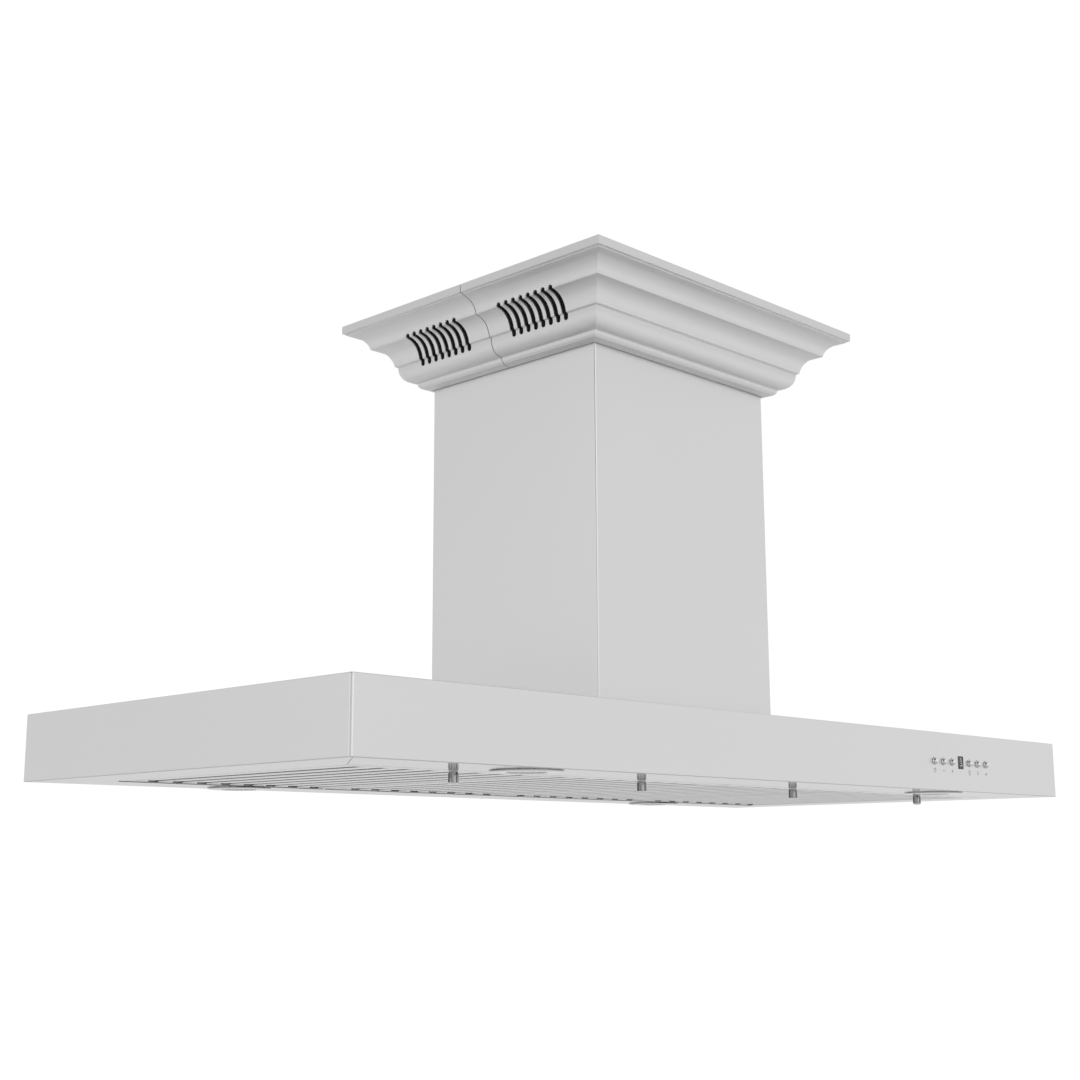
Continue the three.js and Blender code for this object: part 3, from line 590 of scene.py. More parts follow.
def stack(name, rings, segments=0, closed=False):
    """A ring of vertices drawn out along (half length, half depth, height) steps. With no
    segments the ring is a rectangle, otherwise it is round. An open end is capped."""
    bpy.ops.object.select_all(action="DESELECT")
    width, depth, height = rings[0]
    if segments:
        bpy.ops.mesh.primitive_circle_add(vertices=segments, radius=1, fill_type="NOTHING")
    else:
        bpy.ops.mesh.primitive_plane_add(size=2)
    obj = added(name)
    bpy.ops.object.mode_set(mode="EDIT")
    bpy.ops.mesh.select_all(action="SELECT")
    if not segments:
        bpy.ops.mesh.delete(type="ONLY_FACE")
        bpy.ops.mesh.select_all(action="SELECT")
    bpy.ops.transform.resize(value=(width, depth, 1), center_override=(0, 0, 0))
    bpy.ops.transform.translate(value=(0, 0, height))
    bpy.ops.mesh.select_mode(type="EDGE")
    for x, y, z in rings[1:]:
        bpy.ops.mesh.extrude_edges_move(TRANSFORM_OT_translate={"value": (0, 0, z - height)})
        bpy.ops.transform.resize(value=(x / width, y / depth, 1), center_override=(0, 0, z))
        width, depth, height = x, y, z
    bpy.ops.mesh.select_all(action="SELECT")
    if closed:
        bpy.ops.mesh.remove_doubles(threshold=0.001 * MM)
    else:
        bpy.ops.mesh.fill_holes(sides=0)
    bpy.ops.mesh.select_all(action="SELECT")
    bpy.ops.mesh.normals_make_consistent(inside=False)
    leave()
    return obj


def round_rings(profile):
    """Profile points of (radius, height) as the steps of a round stack, in millimetres."""
    return [(radius * MM, radius * MM, height * MM) for radius, height in profile]


def curve(start, control, end, steps):
    """Points along a quadratic curve, without its start."""
    points = []
    for index in range(1, steps + 1):
        t = index / steps
        points.append(tuple((1 - t) ** 2 * a + 2 * t * (1 - t) * b + t * t * c
                            for a, b, c in zip(start, control, end)))
    return points


def smooth(obj, angle=30, weighted=True):
    """Smooth shading that breaks at folds, with flat faces kept flat."""
    take(obj)
    bpy.ops.object.shade_smooth_by_angle(angle=math.radians(angle))
    if weighted:
        apply(obj, "WEIGHTED_NORMAL", keep_sharp=True, weight=80)


def deliver(obj, body, key, slot, *nodes):
    """Finish, body and the frame nodes that a piece stands for; `slot` is not used."""
    coat(obj, key)
    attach(obj, body)
    if nodes:
        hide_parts(*nodes)


def near(value, target, slack=0.05 * MM):
    """Whether a value is the target, but for rounding."""
    return abs(value - target) < slack


def upright(a, b):
    """Whether an edge from a to b stands along Z."""
    return near(a.x, b.x) and near(a.y, b.y)


def along_depth(a, b):
    """Whether an edge from a to b runs along Y."""
    return near(a.x, b.x) and near(a.z, b.z)


def rounded(obj, test, radius, steps):
    """Rounds the edges that pass the test."""
    pick(obj, "EDGE", test)
    bpy.ops.mesh.bevel(offset=radius, segments=steps)


def drilled(name, vertices, radius, depth, place, turn=(0, 0, 0)):
    """A plain cylinder to cut with."""
    bpy.ops.mesh.primitive_cylinder_add(vertices=vertices, radius=radius, depth=depth,
                                        location=place, rotation=turn)
    return added(name)


def one_per_filter(first, name):
    """A piece on the first filter with its copies for the others, numbered from 1."""
    twins = [copied(first, f"{name}_{number}", ((number - 1) * FILTER_PITCH, 0, 0))
             for number in FILTER_NUMBERS[1:]]
    return enumerate([first] + twins, 1)


# ---- Operators ----
class HoodOperator(bpy.types.Operator):
    """Runs a piece's build with the sizes of the scene."""
    bl_options = {"UNDO"}

    def execute(self, context):
        self.build(context.scene.hood_sizes)
        return {"FINISHED"}


def open_face(obj, level, way, half_x, half_y):
    """Cuts a rectangular opening into the flat face at a level that looks along Z by `way`."""
    def on_face(place, normal):
        return normal.z * way > 0.99 and near(place.z, level)

    for side in SIDES:
        pick(obj, "FACE", on_face)
        bpy.ops.mesh.bisect(plane_co=(side * half_x, 0, 0), plane_no=(1, 0, 0))
    for side in SIDES:
        pick(obj, "FACE", on_face)
        bpy.ops.mesh.bisect(plane_co=(0, side * half_y, 0), plane_no=(0, 1, 0))
    pick(obj, "FACE", lambda c, n: on_face(c, n) and abs(c.x) < half_x and abs(c.y) < half_y)
    bpy.ops.mesh.delete(type="FACE")


def open_flange(obj, sizes):
    """Cuts the filter opening into the canopy's underside and folds its lip up."""
    floor = CANOPY_LOW.z
    half_x = CANOPY_HIGH.x - sizes.end_flange
    half_y = CANOPY_HIGH.y - sizes.long_flange
    open_face(obj, floor, -1, half_x, half_y)

    def on_opening(a, b):
        along_x = near(abs(a.y), half_y) and near(abs(b.y), half_y) and near(a.y, b.y)
        along_y = near(abs(a.x), half_x) and near(abs(b.x), half_x) and near(a.x, b.x)
        slack = 0.1 * MM
        inside = all(abs(v.x) < half_x + slack and abs(v.y) < half_y + slack for v in (a, b))
        return near(a.z, floor) and near(b.z, floor) and inside and (along_x or along_y)

    pick(obj, "EDGE", on_opening)
    bpy.ops.mesh.extrude_edges_move(TRANSFORM_OT_translate={"value": (0, 0, sizes.return_lip)})


def open_throat(obj, sizes):
    """Cuts the throat under the blower box into the canopy's top."""
    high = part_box("blower_box")[1]
    open_face(obj, CANOPY_HIGH.z, 1, high.x - sizes.throat, high.y - sizes.throat)


def canopy_cutters(sizes):
    """The holes and slits of the canopy as one cutting shape."""
    tools = []
    fascia = CANOPY_LOW.y
    reach = 4 * MM
    for number in BUTTON_NUMBERS:
        low, high, mid = size_of(f"button_{number}")
        bore = (high.x - low.x) / 2 - sizes.button_flange + sizes.button_fit
        tools.append(drilled("button_bore", 48, bore, 2 * reach, (mid.x, fascia, mid.z),
                             (math.pi / 2, 0, 0)))
    low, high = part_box("display_window")
    fit = sizes.display_fit
    tools.append(box("window", (low.x - fit, fascia - reach, low.z - fit),
                     (high.x + fit, fascia + reach, high.z + fit)))
    for number in LAMP_NUMBERS:
        mid = size_of(f"lamp_bezel_{number}")[2]
        tools.append(drilled("lamp_bore", 64, sizes.lamp_bore, 2 * reach,
                             (mid.x, mid.y, CANOPY_LOW.z)))
    inner = Vector((CANOPY_HIGH.x - sizes.end_flange,
                    CANOPY_HIGH.y - sizes.long_flange - sizes.slit_skew))
    outer = Vector((CANOPY_HIGH.x - sizes.slit_start, CANOPY_HIGH.y - sizes.slit_edge))
    run = outer - inner
    middle = (inner + outer) / 2
    slit = Vector((run.length, sizes.mitre_slit, 6 * MM)) / 2
    for sx in SIDES:
        for sy in SIDES:
            seam = box("seam", -slit, slit)
            seam.rotation_euler.z = math.atan2(sy * run.y, sx * run.x)
            seam.location = (sx * middle.x, sy * middle.y, CANOPY_LOW.z)
            tools.append(seam)
    for tool in tools:
        settle(tool)
    return joined("canopy_cutter", tools)


class HOOD_OT_canopy(HoodOperator):
    """Folds the canopy from one sheet, with its underside flange, slits and holes"""
    bl_idname = "hood.canopy"
    bl_label = "Canopy"

    def build(self, sizes):
        low, high = CANOPY_LOW, CANOPY_HIGH
        obj = box("canopy_skin", low, high)
        rounded(obj, upright, sizes.corner, 8)
        for level in (low.z, high.z):
            rounded(obj, lambda a, b: near(a.z, level) and near(b.z, level), sizes.bend, 5)
        open_flange(obj, sizes)
        open_throat(obj, sizes)
        leave()
        apply(obj, "SOLIDIFY", thickness=sizes.sheet, offset=-1, use_even_offset=True)
        cut_out(obj, canopy_cutters(sizes))
        smooth(obj)
        deliver(obj, "canopy", "steel_sheet", "stainless", "canopy_shell")


class HOOD_OT_chimney(HoodOperator):
    """Folds the two chimney tubes"""
    bl_idname = "hood.chimney"
    bl_label = "Chimney"

    def build(self, sizes):
        tubes = (("chimney_lower", "canopy"), ("chimney_upper", "ceiling_frame"))
        for node, body in tubes:
            low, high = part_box(node)
            obj = box(node.replace("chimney", "chimney_sleeve"), low, high)
            rounded(obj, upright, sizes.chimney_corner, 8)
            pick(obj, "FACE", lambda c, n: abs(n.z) > 0.99)
            bpy.ops.mesh.delete(type="FACE")
            leave()
            apply(obj, "SOLIDIFY", thickness=sizes.chimney_sheet, offset=-1, use_even_offset=True)
            smooth(obj)
            deliver(obj, body, "steel_chimney", "stainless", node)


def crown_profile():
    """The moulding as (inset from the crown's edge, height), in millimetres, top to bottom."""
    points = [(0, 0), (0, -9.4), (0.3, -9.7), (3.3, -10.2), (3.6, -10.5), (3.6, -11.6)]
    points += curve((3.6, -11.6), (20, -14.2), (24.8, -27.5), 9)
    points += [(25.2, -30.3)]
    points += curve((25.2, -30.3), (43.5, -32.6), (47.3, -52.8), 9)
    points += [(50.3, -54.2)]
    points += curve((50.3, -54.2), (50.6, -72.6), (67.3, -74.8), 9)
    points += [(68.4, -78.8), (71, -81.2)]
    return points


def sliced(obj, place, side, **keep):
    """Cuts an object across at a place along Y, drops one side of it and closes the cut."""
    take(obj)
    bpy.ops.object.mode_set(mode="EDIT")
    bpy.ops.mesh.select_all(action="SELECT")
    bpy.ops.mesh.bisect(plane_co=(0, place, 0), plane_no=(0, side, 0), use_fill=True, **keep)
    leave()


def crown_rings(points):
    """Profile points as the steps of a rectangular stack round the crown."""
    return [(CROWN_HIGH.x - inset * MM, CROWN_HIGH.y - inset * MM, height * MM)
            for inset, height in points]


def slot_cutters(sizes, side):
    """Both groups of upright slots in one short side as one cutting shape."""
    radius, depth = sizes.slot_width / 2, 64 * MM
    x = side * (CROWN_HIGH.x - 30 * MM)
    middle = -(sizes.slot_top + sizes.slot_foot) / 2
    reach = (sizes.slot_foot - sizes.slot_top) / 2 - radius
    tools = []
    for end in SIDES:
        for index in range(sizes.slot_count):
            y = end * (sizes.slot_start + index * sizes.slot_pitch)
            tool = drilled("slot", 32, radius, depth, (x, y, middle), (0, math.pi / 2, 0))
            settle(tool)
            for way in SIDES:
                pick(tool, "VERT", lambda v: (v.z - middle) * way > 0.01 * MM)
                bpy.ops.transform.translate(value=(0, 0, way * reach))
            leave()
            tools.append(tool)
    return joined("slot_cutter", tools)


class HOOD_OT_crown(HoodOperator):
    """Forms the crown moulding, cuts its loudspeaker slots and splits it in two"""
    bl_idname = "hood.crown"
    bl_label = "Crown moulding"

    def build(self, sizes):
        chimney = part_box("chimney_lower")[1]
        bore = (CROWN_HIGH.x - chimney.x) / MM - 0.6
        sheet = sizes.crown_sheet / MM
        outer = crown_profile()
        outer += [(bore - 2.2, -83.2), (bore - 1.6, -83.6), (bore - 0.9, -83.3), (bore, -81.9),
                  (bore, -80.0)]
        inner = [(inset + sheet, height + sheet) for inset, height in crown_profile()[1:]]
        inner = [point for point in inner if point[1] < -sheet - 0.1]
        flange = [(14, 0), (14, -sheet), (sheet, -sheet)]
        loop = outer + inner[::-1] + flange[::-1] + [(0, 0)]
        whole = stack("crown_whole", crown_rings(loop), closed=True)
        for side in SIDES:
            cut_out(whole, slot_cutters(sizes, side))
        halves = (("front", -1, "crown_moulding_front"), ("rear", 1, "crown_moulding_rear"))
        for place, side, name in halves:
            half = copied(whole, name, (0, 0, 0))
            sliced(half, side * sizes.crown_split / 2, side, clear_inner=True)
            smooth(half, 24, False)
            deliver(half, "ceiling_frame", "steel_crown", "stainless", f"crown_{place}_half")
        bpy.data.objects.remove(whole)


class HOOD_OT_cloth(HoodOperator):
    """Lines the crown with black loudspeaker cloth behind its slots; the dark sheet is also painted
    shade, standing for the shade inside the crown
    """
    bl_idname = "hood.cloth"
    bl_label = "Loudspeaker cloth"

    def build(self, sizes):
        behind = sizes.crown_sheet / MM + 0.25
        front = [(inset + behind, height + behind) for inset, height in crown_profile()
                 if -79 < height < -9]
        back = [(inset + 0.5, height + 0.5) for inset, height in front]
        cloth = stack("speaker_cloth", crown_rings(front + back[::-1] + front[:1]), closed=True)
        end = sizes.slot_start + sizes.slot_count * sizes.slot_pitch
        for side in SIDES:
            sliced(cloth, side * end, side, clear_outer=True)
        smooth(cloth, 24, False)
        deliver(cloth, "ceiling_frame", "cloth_black", "speaker_black")


def baffle_gaps(sizes):
    """The middles of one filter's gaps, from the middle of the filter."""
    inner = FILTER_HIGH.x - FILTER_LOW.x - 2 * sizes.filter_side
    pitch = inner / (sizes.baffle_count + 0.5)
    return [(index - (sizes.baffle_count - 1) / 2) * pitch for index in range(sizes.baffle_count)]


def filter_channels(sizes):
    """The folded strips of one filter: one row below and one over the gaps."""
    low, high, mid = FILTER_LOW, FILTER_HIGH, FILTER_MID
    inner_x = (high.x - low.x) / 2 - sizes.filter_side
    inner_y = (high.y - low.y) / 2 - sizes.filter_end
    tuck = 2 * MM
    gaps = baffle_gaps(sizes)
    edges = [-inner_x - tuck]
    for gap in gaps:
        edges += [gap - sizes.baffle_gap / 2, gap + sizes.baffle_gap / 2]
    edges.append(inner_x + tuck)
    strips = []
    for index in range(sizes.baffle_count + 1):
        x0, x1 = edges[2 * index], edges[2 * index + 1]
        strips.append(channel(sizes, mid.x + x0, mid.x + x1, low.z + 0.3 * MM, 1,
                              mid.y - inner_y - tuck, mid.y + inner_y + tuck))
    lap = sizes.baffle_gap / 2 + 4 * MM
    top = high.z - 0.4 * MM
    for gap in gaps:
        strips.append(channel(sizes, mid.x + gap - lap, mid.x + gap + lap, top, -1,
                              mid.y - inner_y - tuck, mid.y + inner_y - 10 * MM))
    return strips


def channel(sizes, x0, x1, web, way, y0, y1):
    """One folded strip: a flat web at height `web` with its two edges turned by `way`."""
    bpy.ops.object.select_all(action="DESELECT")
    bpy.ops.mesh.primitive_plane_add(size=1, location=((x0 + x1) / 2, (y0 + y1) / 2, web))
    obj = added("strip")
    obj.scale = (x1 - x0, y1 - y0, 1)
    settle(obj)
    pick(obj, "EDGE", lambda a, b: near(a.x, b.x))
    bpy.ops.mesh.extrude_edges_move(
        TRANSFORM_OT_translate={"value": (0, 0, way * sizes.baffle_lip)})
    rounded(obj, lambda a, b: near(a.z, web) and along_depth(a, b), 0.8 * MM, 3)
    bpy.ops.mesh.select_all(action="SELECT")
    bpy.ops.mesh.normals_make_consistent(inside=False)
    leave()
    downward = sum(face.normal.z for face in obj.data.polygons) * way < 0
    apply(obj, "SOLIDIFY", thickness=sizes.baffle_sheet, offset=-1 if downward else 1,
          use_even_offset=True)
    return obj


class HOOD_OT_filters(HoodOperator):
    """Builds one baffle filter from a folded frame and channels, and copies it"""
    bl_idname = "hood.filters"
    bl_label = "Baffle filters"

    def build(self, sizes):
        low, high, mid = FILTER_LOW, FILTER_HIGH, FILTER_MID
        half_x = (high.x - low.x) / 2
        half_y = (high.y - low.y) / 2
        thick = high.z - low.z
        bend = sizes.filter_bend
        inner_x = half_x - sizes.filter_side
        inner_y = half_y - sizes.filter_end
        frame_ring = stack("filter_frame", [
            (half_x - bend, half_y - bend, 0),
            (half_x - bend * 0.3, half_y - bend * 0.3, bend * 0.3),
            (half_x, half_y, bend), (half_x, half_y, thick - bend),
            (half_x - bend * 0.3, half_y - bend * 0.3, thick - bend * 0.3),
            (half_x - bend, half_y - bend, thick), (inner_x, inner_y, thick),
            (inner_x, inner_y, bend * 0.5), (inner_x + bend * 0.5, inner_y + bend * 0.5, 0),
            (half_x - bend, half_y - bend, 0)], closed=True)
        frame_ring.location = (mid.x, mid.y, low.z)
        settle(frame_ring)
        seams = []
        cut = Vector((26 * MM, sizes.filter_seam, 0.7 * MM)) / 2
        for sx in SIDES:
            for sy in SIDES:
                seam = box("seam", -cut, cut)
                seam.rotation_euler.z = math.atan2(sy * sizes.filter_end, sx * sizes.filter_side)
                seam.location = (mid.x + sx * (half_x - sizes.filter_side / 2),
                                 mid.y + sy * (half_y - sizes.filter_end / 2), low.z)
                settle(seam)
                seams.append(seam)
        cut_out(frame_ring, joined("frame_seams", seams))
        first = joined("filter_panel_1", [frame_ring] + filter_channels(sizes))
        smooth(first)
        for number, panel in one_per_filter(first, "filter_panel"):
            deliver(panel, f"filter_{number}", "steel_baffle", "stainless",
                    f"baffle_filter_{number}")


class HOOD_OT_gap_shade_blocks(HoodOperator):
    """Sets a black plug at the rear end of every baffle gap, and a black strip behind them: painted
    shade, dark pieces for the shade at the gaps' ends and under the rear rail
    """
    bl_idname = "hood.drains"
    bl_label = "Gap shade blocks"

    def build(self, sizes):
        low, high = FILTER_LOW, FILTER_HIGH
        rear = high.y - sizes.filter_end - 0.3 * MM
        foot = low.z - sizes.shade_block_foot
        half = sizes.baffle_gap / 2 + 0.2 * MM
        plugs = []
        # Painted shade: a black block closes the rear end of each gap, where the gap lies in
        # shadow.
        for gap in baffle_gaps(sizes):
            x = FILTER_MID.x + gap
            plug = box("plug", (x - half, rear - sizes.shade_block_depth, foot),
                       (x + half, rear, low.z + sizes.shade_block_height))
            rounded(plug, upright, 0.4 * MM, 3)
            leave()
            plugs.append(plug)
        # Painted shade: a black strip for the shadow line under the rear rail.
        plugs.append(box("seal", (low.x + 1 * MM, high.y - 1.6 * MM, foot),
                         (high.x - 1 * MM, high.y - 0.4 * MM, low.z + 2 * MM)))
        first = joined("filter_drain_1", plugs)
        smooth(first, 30, False)
        for number, shade_blocks in one_per_filter(first, "filter_drain"):
            deliver(shade_blocks, f"filter_{number}", "plastic_black", "black_plastic")


class HOOD_OT_knobs(HoodOperator):
    """Turns one fluted filter knob and copies it"""
    bl_idname = "hood.knobs"
    bl_label = "Filter knobs"

    def build(self, sizes):
        low, high, mid = size_of("filter_knob_1")
        radius = (high.x - low.x) / 2 / MM
        tall = (high.z - low.z) / MM
        profile = [(1.6, -tall), (1.9, -tall + 0.15), (radius - 1.2, -tall + 0.15),
                   (radius - 0.6, -tall), (radius - 0.25, -tall + 0.15), (radius, -tall + 0.7),
                   (radius, -tall + 1.3), (radius - 0.35, -tall + 1.6), (radius - 0.35, -1.9),
                   (radius, -1.6), (radius, -0.5), (radius - 0.3, -0.2), (radius - 0.3, 0)]
        segments = sizes.knob_flutes * 6
        first = stack("knob_1", round_rings(profile), segments)
        middle = (-tall + 1.6 - 1.9) / 2 * MM

        def on_flute(place, normal):
            turn = math.atan2(place.y, place.x) / (2 * math.pi) * segments
            return near(place.z, middle, 0.3 * MM) and math.floor(turn) % 6 in (0, 1, 2)

        pick(first, "FACE", on_flute)
        bpy.ops.mesh.extrude_region_shrink_fatten(
            TRANSFORM_OT_shrink_fatten={"value": sizes.flute_depth})
        leave()
        first.location = (mid.x, mid.y, high.z)
        settle(first)
        smooth(first, 32, False)
        for number, knob in one_per_filter(first, "knob"):
            deliver(knob, f"filter_{number}", "steel_fluted", "polished_steel",
                    f"filter_knob_{number}")


class HOOD_OT_lamps(HoodOperator):
    """Turns one lamp ring and its lens, and copies both"""
    bl_idname = "hood.lamps"
    bl_label = "Lamps"

    def build(self, sizes):
        low, high, mid = BEZEL_LOW, BEZEL_HIGH, BEZEL_MID
        outer = (high.x - low.x) / 2 / MM
        lens_low, lens_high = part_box("lamp_lens_1")
        lens = (lens_high.x - lens_low.x) / 2 / MM
        top = (high.z - low.z) / MM
        ring = [(lens - 1.0, 0.55), (lens - 0.6, 0.2), (lens + 0.2, 0), (lens + 2.2, 0)]
        ring += curve((lens + 2.2, 0), (outer - 6, 0.05), (outer - 2.2, 0.45), 4)
        ring += [(outer - 0.8, 0.95), (outer, 1.5), (outer, 1.85), (29.4, 1.85), (29.4, top),
                 (28.2, top), (28.2, 3.2), (lens + 0.35, 2.3), (lens + 0.35, 0.95),
                 (lens - 1.0, 0.95), (lens - 1.0, 0.55)]
        bezel = stack("lamp_ring_1", round_rings(ring), 96, closed=True)
        glass = [(0.5, 1.1), (6, 1.08), (12, 1.1), (lens - 3, 1.15), (lens - 0.4, 1.25),
                 (lens, 1.45), (lens, 2.3), (lens - 2, 3.2), (0.5, 4.2)]
        pane = stack("lamp_glass_1", round_rings(glass), 96)
        for piece in (bezel, pane):
            piece.location = (mid.x, mid.y, low.z)
            settle(piece)
            smooth(piece, 40, True)
        lamps = [(bezel, pane)]
        for number in LAMP_NUMBERS[1:]:
            there = size_of(f"lamp_bezel_{number}")[2] - mid
            shift = (there.x, there.y, 0)
            lamps.append((copied(bezel, f"lamp_ring_{number}", shift),
                          copied(pane, f"lamp_glass_{number}", shift)))
        for number, (bezel, pane) in enumerate(lamps, 1):
            deliver(bezel, "canopy", "steel_ring", "polished_steel", f"lamp_bezel_{number}")
            deliver(pane, "canopy", "lens_frosted", "frosted_lens", f"lamp_lens_{number}")


class HOOD_OT_buttons(HoodOperator):
    """Turns one domed push button and copies it"""
    bl_idname = "hood.buttons"
    bl_label = "Buttons"

    def build(self, sizes):
        low, high, mid = size_of("button_1")
        fascia = CANOPY_LOW.y
        dome = (fascia - low.y) / MM
        flange = (high.x - low.x) / 2 / MM
        wide = flange - sizes.button_flange / MM
        profile = [(2.2, -15.5), (2.2, -2.5), (flange, -2.5), (flange, -1.5), (wide, -1.5),
                   (wide, 0.45), (wide - 0.1, 0.75), (wide - 0.35, 0.85), (wide - 0.55, 1.0)]
        shoulder = (wide * 0.45, dome - 0.3)
        profile += curve((wide - 0.55, 1.0), (wide - 0.5, dome * 0.78), shoulder, 7)
        profile += curve(shoulder, (wide * 0.2, dome), (0.1, dome), 4)
        first = stack("push_button_1", round_rings(profile), 56)
        first.rotation_euler = (math.pi / 2, 0, 0)
        first.location = (mid.x, fascia, mid.z)
        settle(first)
        smooth(first, 45, True)
        buttons = [first]
        for number in BUTTON_NUMBERS[1:]:
            shift = size_of(f"button_{number}")[2].x - mid.x
            buttons.append(copied(first, f"push_button_{number}", (shift, 0, 0)))
        for number, button in enumerate(buttons, 1):
            deliver(button, f"button_{number}_cap", "steel_polished", "polished_steel",
                    f"button_{number}")


def bar(name, x, z, width, height, y0, y1):
    """A thin upright bar with softened ends."""
    obj = box(name, (x - width / 2, y0, z - height / 2), (x + width / 2, y1, z + height / 2))
    rounded(obj, along_depth, min(width, height) * 0.45, 3)
    leave()
    return obj


# The bars of the digit three as (across, up, whether it stands), in quarters of its height
THREE = ((0, 2, False), (1, 1, True), (1, -1, True), (0, -2, False), (0, 0, False))


def digit(x, z, height, y0, y1):
    """A digit made of bars."""
    step = height / 4
    thin = height * 0.15
    bars = []
    for across, up, stands in THREE:
        width, tall = (thin, 2 * step - thin) if stands else (2 * step - thin, thin)
        bars.append(bar("segment", x + across * step, z + up * step, width, tall, y0, y1))
    return bars


class HOOD_OT_display(HoodOperator):
    """Builds the display: a rimmed dark window with its digits"""
    bl_idname = "hood.display"
    bl_label = "Display"

    def build(self, sizes):
        low, high, mid = size_of("display_window")
        window = box("display_pane", low, high)
        rounded(window, along_depth, 1.2 * MM, 5)
        pick(window, "FACE", lambda c, n: n.y < -0.99)
        bpy.ops.mesh.inset(thickness=0.25 * MM)
        bpy.ops.mesh.inset(thickness=sizes.display_frame)
        bpy.ops.mesh.inset(thickness=0.12 * MM)
        bpy.ops.transform.translate(value=(0, sizes.display_sink, 0))
        leave()
        smooth(window, 30, True)
        deliver(window, "canopy", "glass_dark", "display_glass", "display_window")
        face = low.y + sizes.display_sink
        y0, y1 = face - 0.06 * MM, face + 0.2 * MM
        bars = digit(mid.x, mid.z + 2.0 * MM, 6.0 * MM, y0, y1)
        for index in range(3):
            bars.append(bar("level", mid.x + (index - 1) * 2.3 * MM, mid.z - 3.4 * MM
                            - (2 - index) * 0.35 * MM, 1.1 * MM, (1.2 + 0.7 * index) * MM, y0, y1))
        figures = joined("display_digits", bars)
        deliver(figures, "canopy", "ink_digits", "display_glass")


def ring_mark(x, z, outer, inner, y0, y1):
    """A flat printed ring."""
    ring = stack("ring", [(outer, outer, 0), (outer, outer, y1 - y0), (inner, inner, y1 - y0),
                          (inner, inner, 0), (outer, outer, 0)], 24, closed=True)
    ring.rotation_euler = (math.pi / 2, 0, 0)
    ring.location = (x, y1, z)
    settle(ring)
    return ring


class HOOD_OT_marks(HoodOperator):
    """Prints a plain mark under each button"""
    bl_idname = "hood.marks"
    bl_label = "Printed marks"

    def build(self, sizes):
        face = CANOPY_LOW.y
        y0, y1 = face - 0.05 * MM, face - 0.005 * MM
        tall = sizes.mark_size
        thin = tall * 0.15
        pieces = []
        for index in BUTTON_NUMBERS:
            mid = size_of(f"button_{index}")[2]
            x, z = mid.x, mid.z - sizes.mark_drop
            if index in (1, 4):
                pieces.append(ring_mark(x, z, tall / 2, tall / 2 - thin, y0, y1))
            if index in (1, 5):
                pieces.append(bar("tick", x, z + tall * 0.3, thin, tall * 0.6, y0 - 0.01 * MM, y1))
            if index in (2, 3):
                pieces.append(bar("dash", x, z, tall * 0.9, thin, y0, y1))
            if index == 3:
                pieces.append(bar("stroke", x, z, thin, tall * 0.9, y0 - 0.01 * MM, y1))
            if index == 4:
                pieces.append(bar("foot", x, z - tall * 0.7, tall * 0.5, thin, y0, y1))
            if index in (5, 6):
                for step in range(index - 3):
                    pieces.append(bar("step", x + (step - (index - 4) / 2) * thin * 2.4,
                                      z - tall * 0.25 + step * thin * 0.5, thin * 1.1,
                                      tall * (0.35 + 0.18 * step), y0, y1))
        marks = joined("button_marks", pieces)
        deliver(marks, "canopy", "ink_marks", "grey_plastic")


# Inner parts that keep the frame's own shape: finish, slot and frame nodes
CARRIED = {
    "zinc": ("galvanised_steel", ["ceiling_plate", "blower_box", "blower_scroll", "impeller",
                                  "motor_bracket", "duct_collar", "junction_box",
                                  "filter_rail_front", "filter_rail_rear"]
             + [f"{level}_strut_{place}" for level in ("upper", "lower")
                for place in ("front_left", "front_right", "rear_left", "rear_right")]),
    "alloy": ("aluminium", ["motor", "run_capacitor", "damper_flap_front", "damper_flap_rear"]),
    "steel_polished": ("polished_steel", ["motor_shaft", "damper_pin"]),
    "plastic_black": ("black_plastic", ["control_housing"]),
    "plastic_grey": ("grey_plastic", ["speaker_amplifier", "led_driver", "cable_gland"]),
    "cone_paper": ("speaker_black", [f"speaker_{side}_{end}" for side in ("left", "right")
                                     for end in ("front", "rear")]),
}


class HOOD_OT_inner_parts(HoodOperator):
    """Gives the frame's own inner parts their finishes"""
    bl_idname = "hood.inner_parts"
    bl_label = "Inner parts"

    def build(self, sizes):
        for key, (slot, nodes) in CARRIED.items():
            for node in nodes:
                coat(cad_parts[node], key)


# ---- Stage ----
CAMERA_PLACE = (-1.46835, -1.32949, -0.66557)
CAMERA_AZIMUTH = -45.6743
CAMERA_ELEVATION = -11.2879
CAMERA_ROLL = -0.2268
CAMERA_LENS = 54.434
FLOOR_HEIGHT = -2.3
FLOOR_RADIUS = 7.5


SKY_LEVELS = [(0.0, 1.0), (0.45, 1.0), (0.62, 0.94), (0.8, 0.82), (1.0, 0.7)]  # (height, grey)
STRIPS = ((-160.0, 4.0, 0.35), (-112.0, 4.0, 0.35))     # (azimuth, half width, darkness)
FLAG = (-0.655, -0.276, 0.704)      # where a dark flag stands, high up
FLAG_DARKNESS = 0.85
BACK_DARKNESS = 0.27                # low down, on the side away from the camera
LEFT_DARKNESS = 0.065
RIGHT_GAIN = 0.01
FAR_RIGHT_GAIN = 0.09
BACKDROP = 1.02                     # brightness that the camera sees behind the hood
DIAGONAL = 0.71                     # about the cosine of 45 degrees


class Sky(Recipe):
    """The nodes of the surroundings."""

    def __init__(self, world):
        world.use_nodes = True
        self.tree = world.node_tree
        self.tree.nodes.clear()


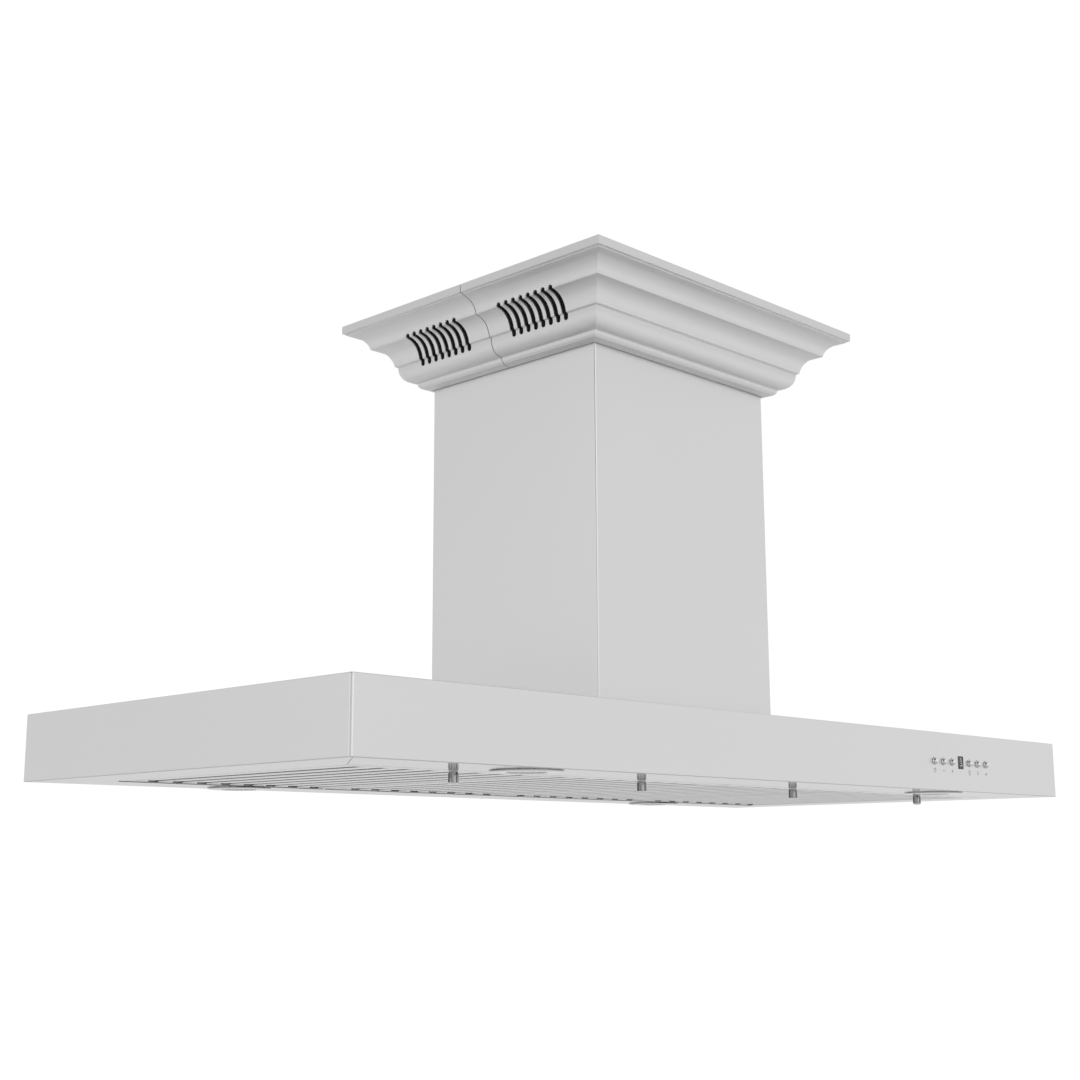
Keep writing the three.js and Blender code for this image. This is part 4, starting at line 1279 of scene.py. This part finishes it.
def studio_world():
    """White surroundings, a little dimmer above, with two narrow dark strips to shape gloss."""
    world = bpy.data.worlds.new("studio")
    bpy.context.scene.world = world
    sky = Sky(world)
    direction = sky.coordinate("Generated")
    x, y, z = (sky.axis(direction, name) for name in "XYZ")
    azimuth = sky.node("ShaderNodeMath", {"operation": "ARCTAN2"}, {0: y, 1: x})
    height = sky.node("ShaderNodeValToRGB", {"stops": SKY_LEVELS}, {0: z * 0.5 + 0.5})
    grey = sky.node("ShaderNodeSeparateColor", {}, {0: height}, 0)
    away = sky.soften(x * DIAGONAL + y * DIAGONAL, 0.25, 0.85)
    low_down = 1 - sky.soften(z, -0.02, 0.3)
    grey = grey * (1 - away * low_down * BACK_DARKNESS)
    flag = x * FLAG[0] + y * FLAG[1] + z * FLAG[2]
    grey = grey * (1 - sky.soften(flag, 0.78, 0.9) * FLAG_DARKNESS)
    for middle, half, darkness in STRIPS:
        gap = abs(azimuth - math.radians(middle))
        strip = 1 - sky.soften(gap, math.radians(half * 0.6), math.radians(half))
        grey = grey * (1 - strip * darkness)
    right = sky.soften(x * DIAGONAL - y * DIAGONAL, 0.2, 0.9)
    left = sky.soften(y * DIAGONAL - x * DIAGONAL, 0.2, 0.9)
    far_right = sky.soften(x, 0.78, 0.97)
    grey = grey * (1.0 + right * RIGHT_GAIN - left * LEFT_DARKNESS + far_right * FAR_RIGHT_GAIN)
    camera_ray = sky.node("ShaderNodeLightPath", {}, {}, "Is Camera Ray")
    strength = sky.mix(camera_ray, grey, BACKDROP)
    background = sky.node("ShaderNodeBackground", {},
                          {"Color": (1, 1, 1, 1), "Strength": strength})
    output = sky.tree.nodes.new("ShaderNodeOutputWorld")
    sky.plug(output.inputs[0], background)


def soft_light(name, place, aim, width, depth, power):
    """A large soft box that points at a place."""
    bpy.ops.object.light_add(type="AREA", location=place)
    lamp = bpy.context.active_object
    lamp.name = name
    lamp.data.shape = "RECTANGLE"
    lamp.data.size = width
    lamp.data.size_y = depth
    lamp.data.energy = power
    lamp.rotation_euler = (Vector(aim) - Vector(place)).to_track_quat("-Z", "Y").to_euler()


class HOOD_OT_stage(HoodOperator):
    """Sets the camera, the pale floor and the soft lights"""
    bl_idname = "hood.stage"
    bl_label = "Stage"

    def build(self, sizes):
        bpy.ops.object.select_all(action="DESELECT")
        bpy.ops.object.camera_add(location=CAMERA_PLACE)
        camera = bpy.context.active_object
        turns = ((CAMERA_AZIMUTH, "Z"), (90 - CAMERA_ELEVATION, "X"), (CAMERA_ROLL, "Z"))
        turned = Matrix()
        for angle, axis in turns:
            turned = turned @ Matrix.Rotation(math.radians(angle), 4, axis)
        camera.rotation_euler = turned.to_euler()
        camera.data.lens = CAMERA_LENS
        camera.data.sensor_width = 36
        camera.data.clip_end = 60
        bpy.context.scene.camera = camera
        bpy.context.scene.view_settings.view_transform = "Standard"
        bpy.context.scene.view_settings.look = "None"
        floor = stack("studio_floor", [(0.5, 0.5, 0), (FLOOR_RADIUS, FLOOR_RADIUS, 0),
                                       (FLOOR_RADIUS, FLOOR_RADIUS, -0.02)], 96)
        floor.location = (0, 0, FLOOR_HEIGHT)
        settle(floor)
        coat(floor, "paper_floor")
        studio_world()
        aim = (0, 0, -0.4)
        soft_light("key_light", (-0.6, -3.6, 0.6), aim, width=3.2, depth=2.2, power=12)
        soft_light("fill_light", (-3.8, 1.0, 0.3), aim, width=2.6, depth=2.2, power=6)


class HOOD_PT_panel(bpy.types.Panel):
    """The hood's pieces, sizes and finishes in the sidebar"""
    bl_idname = "HOOD_PT_panel"
    bl_label = "Island range hood"
    bl_space_type = "VIEW_3D"
    bl_region_type = "UI"
    bl_category = "Hood"

    def draw(self, context):
        column = self.layout.column()
        for operator in OPERATORS:
            column.operator(operator.bl_idname)
        for group in (context.scene.hood_sizes, context.scene.hood_finishes):
            for key in group.bl_rna.properties.keys():
                if key not in ("rna_type", "name"):
                    column.prop(group, key)


OPERATORS = (HOOD_OT_stage, HOOD_OT_canopy, HOOD_OT_chimney, HOOD_OT_crown, HOOD_OT_cloth,
             HOOD_OT_filters, HOOD_OT_gap_shade_blocks, HOOD_OT_knobs, HOOD_OT_lamps, HOOD_OT_buttons,
             HOOD_OT_display, HOOD_OT_marks, HOOD_OT_inner_parts)
CLASSES = (HoodSizes, HoodFinishes) + OPERATORS + (HOOD_PT_panel,)


def register():
    for cls in CLASSES:
        bpy.utils.register_class(cls)
    bpy.types.Scene.hood_sizes = bpy.props.PointerProperty(type=HoodSizes)
    bpy.types.Scene.hood_finishes = bpy.props.PointerProperty(type=HoodFinishes)


def unregister():
    del bpy.types.Scene.hood_finishes
    del bpy.types.Scene.hood_sizes
    for cls in reversed(CLASSES):
        bpy.utils.unregister_class(cls)


def main():
    register()
    for operator in OPERATORS:
        group, name = operator.bl_idname.split(".")
        getattr(getattr(bpy.ops, group), name)()
    bpy.ops.object.select_all(action="DESELECT")


if __name__ == "__main__":
    main()
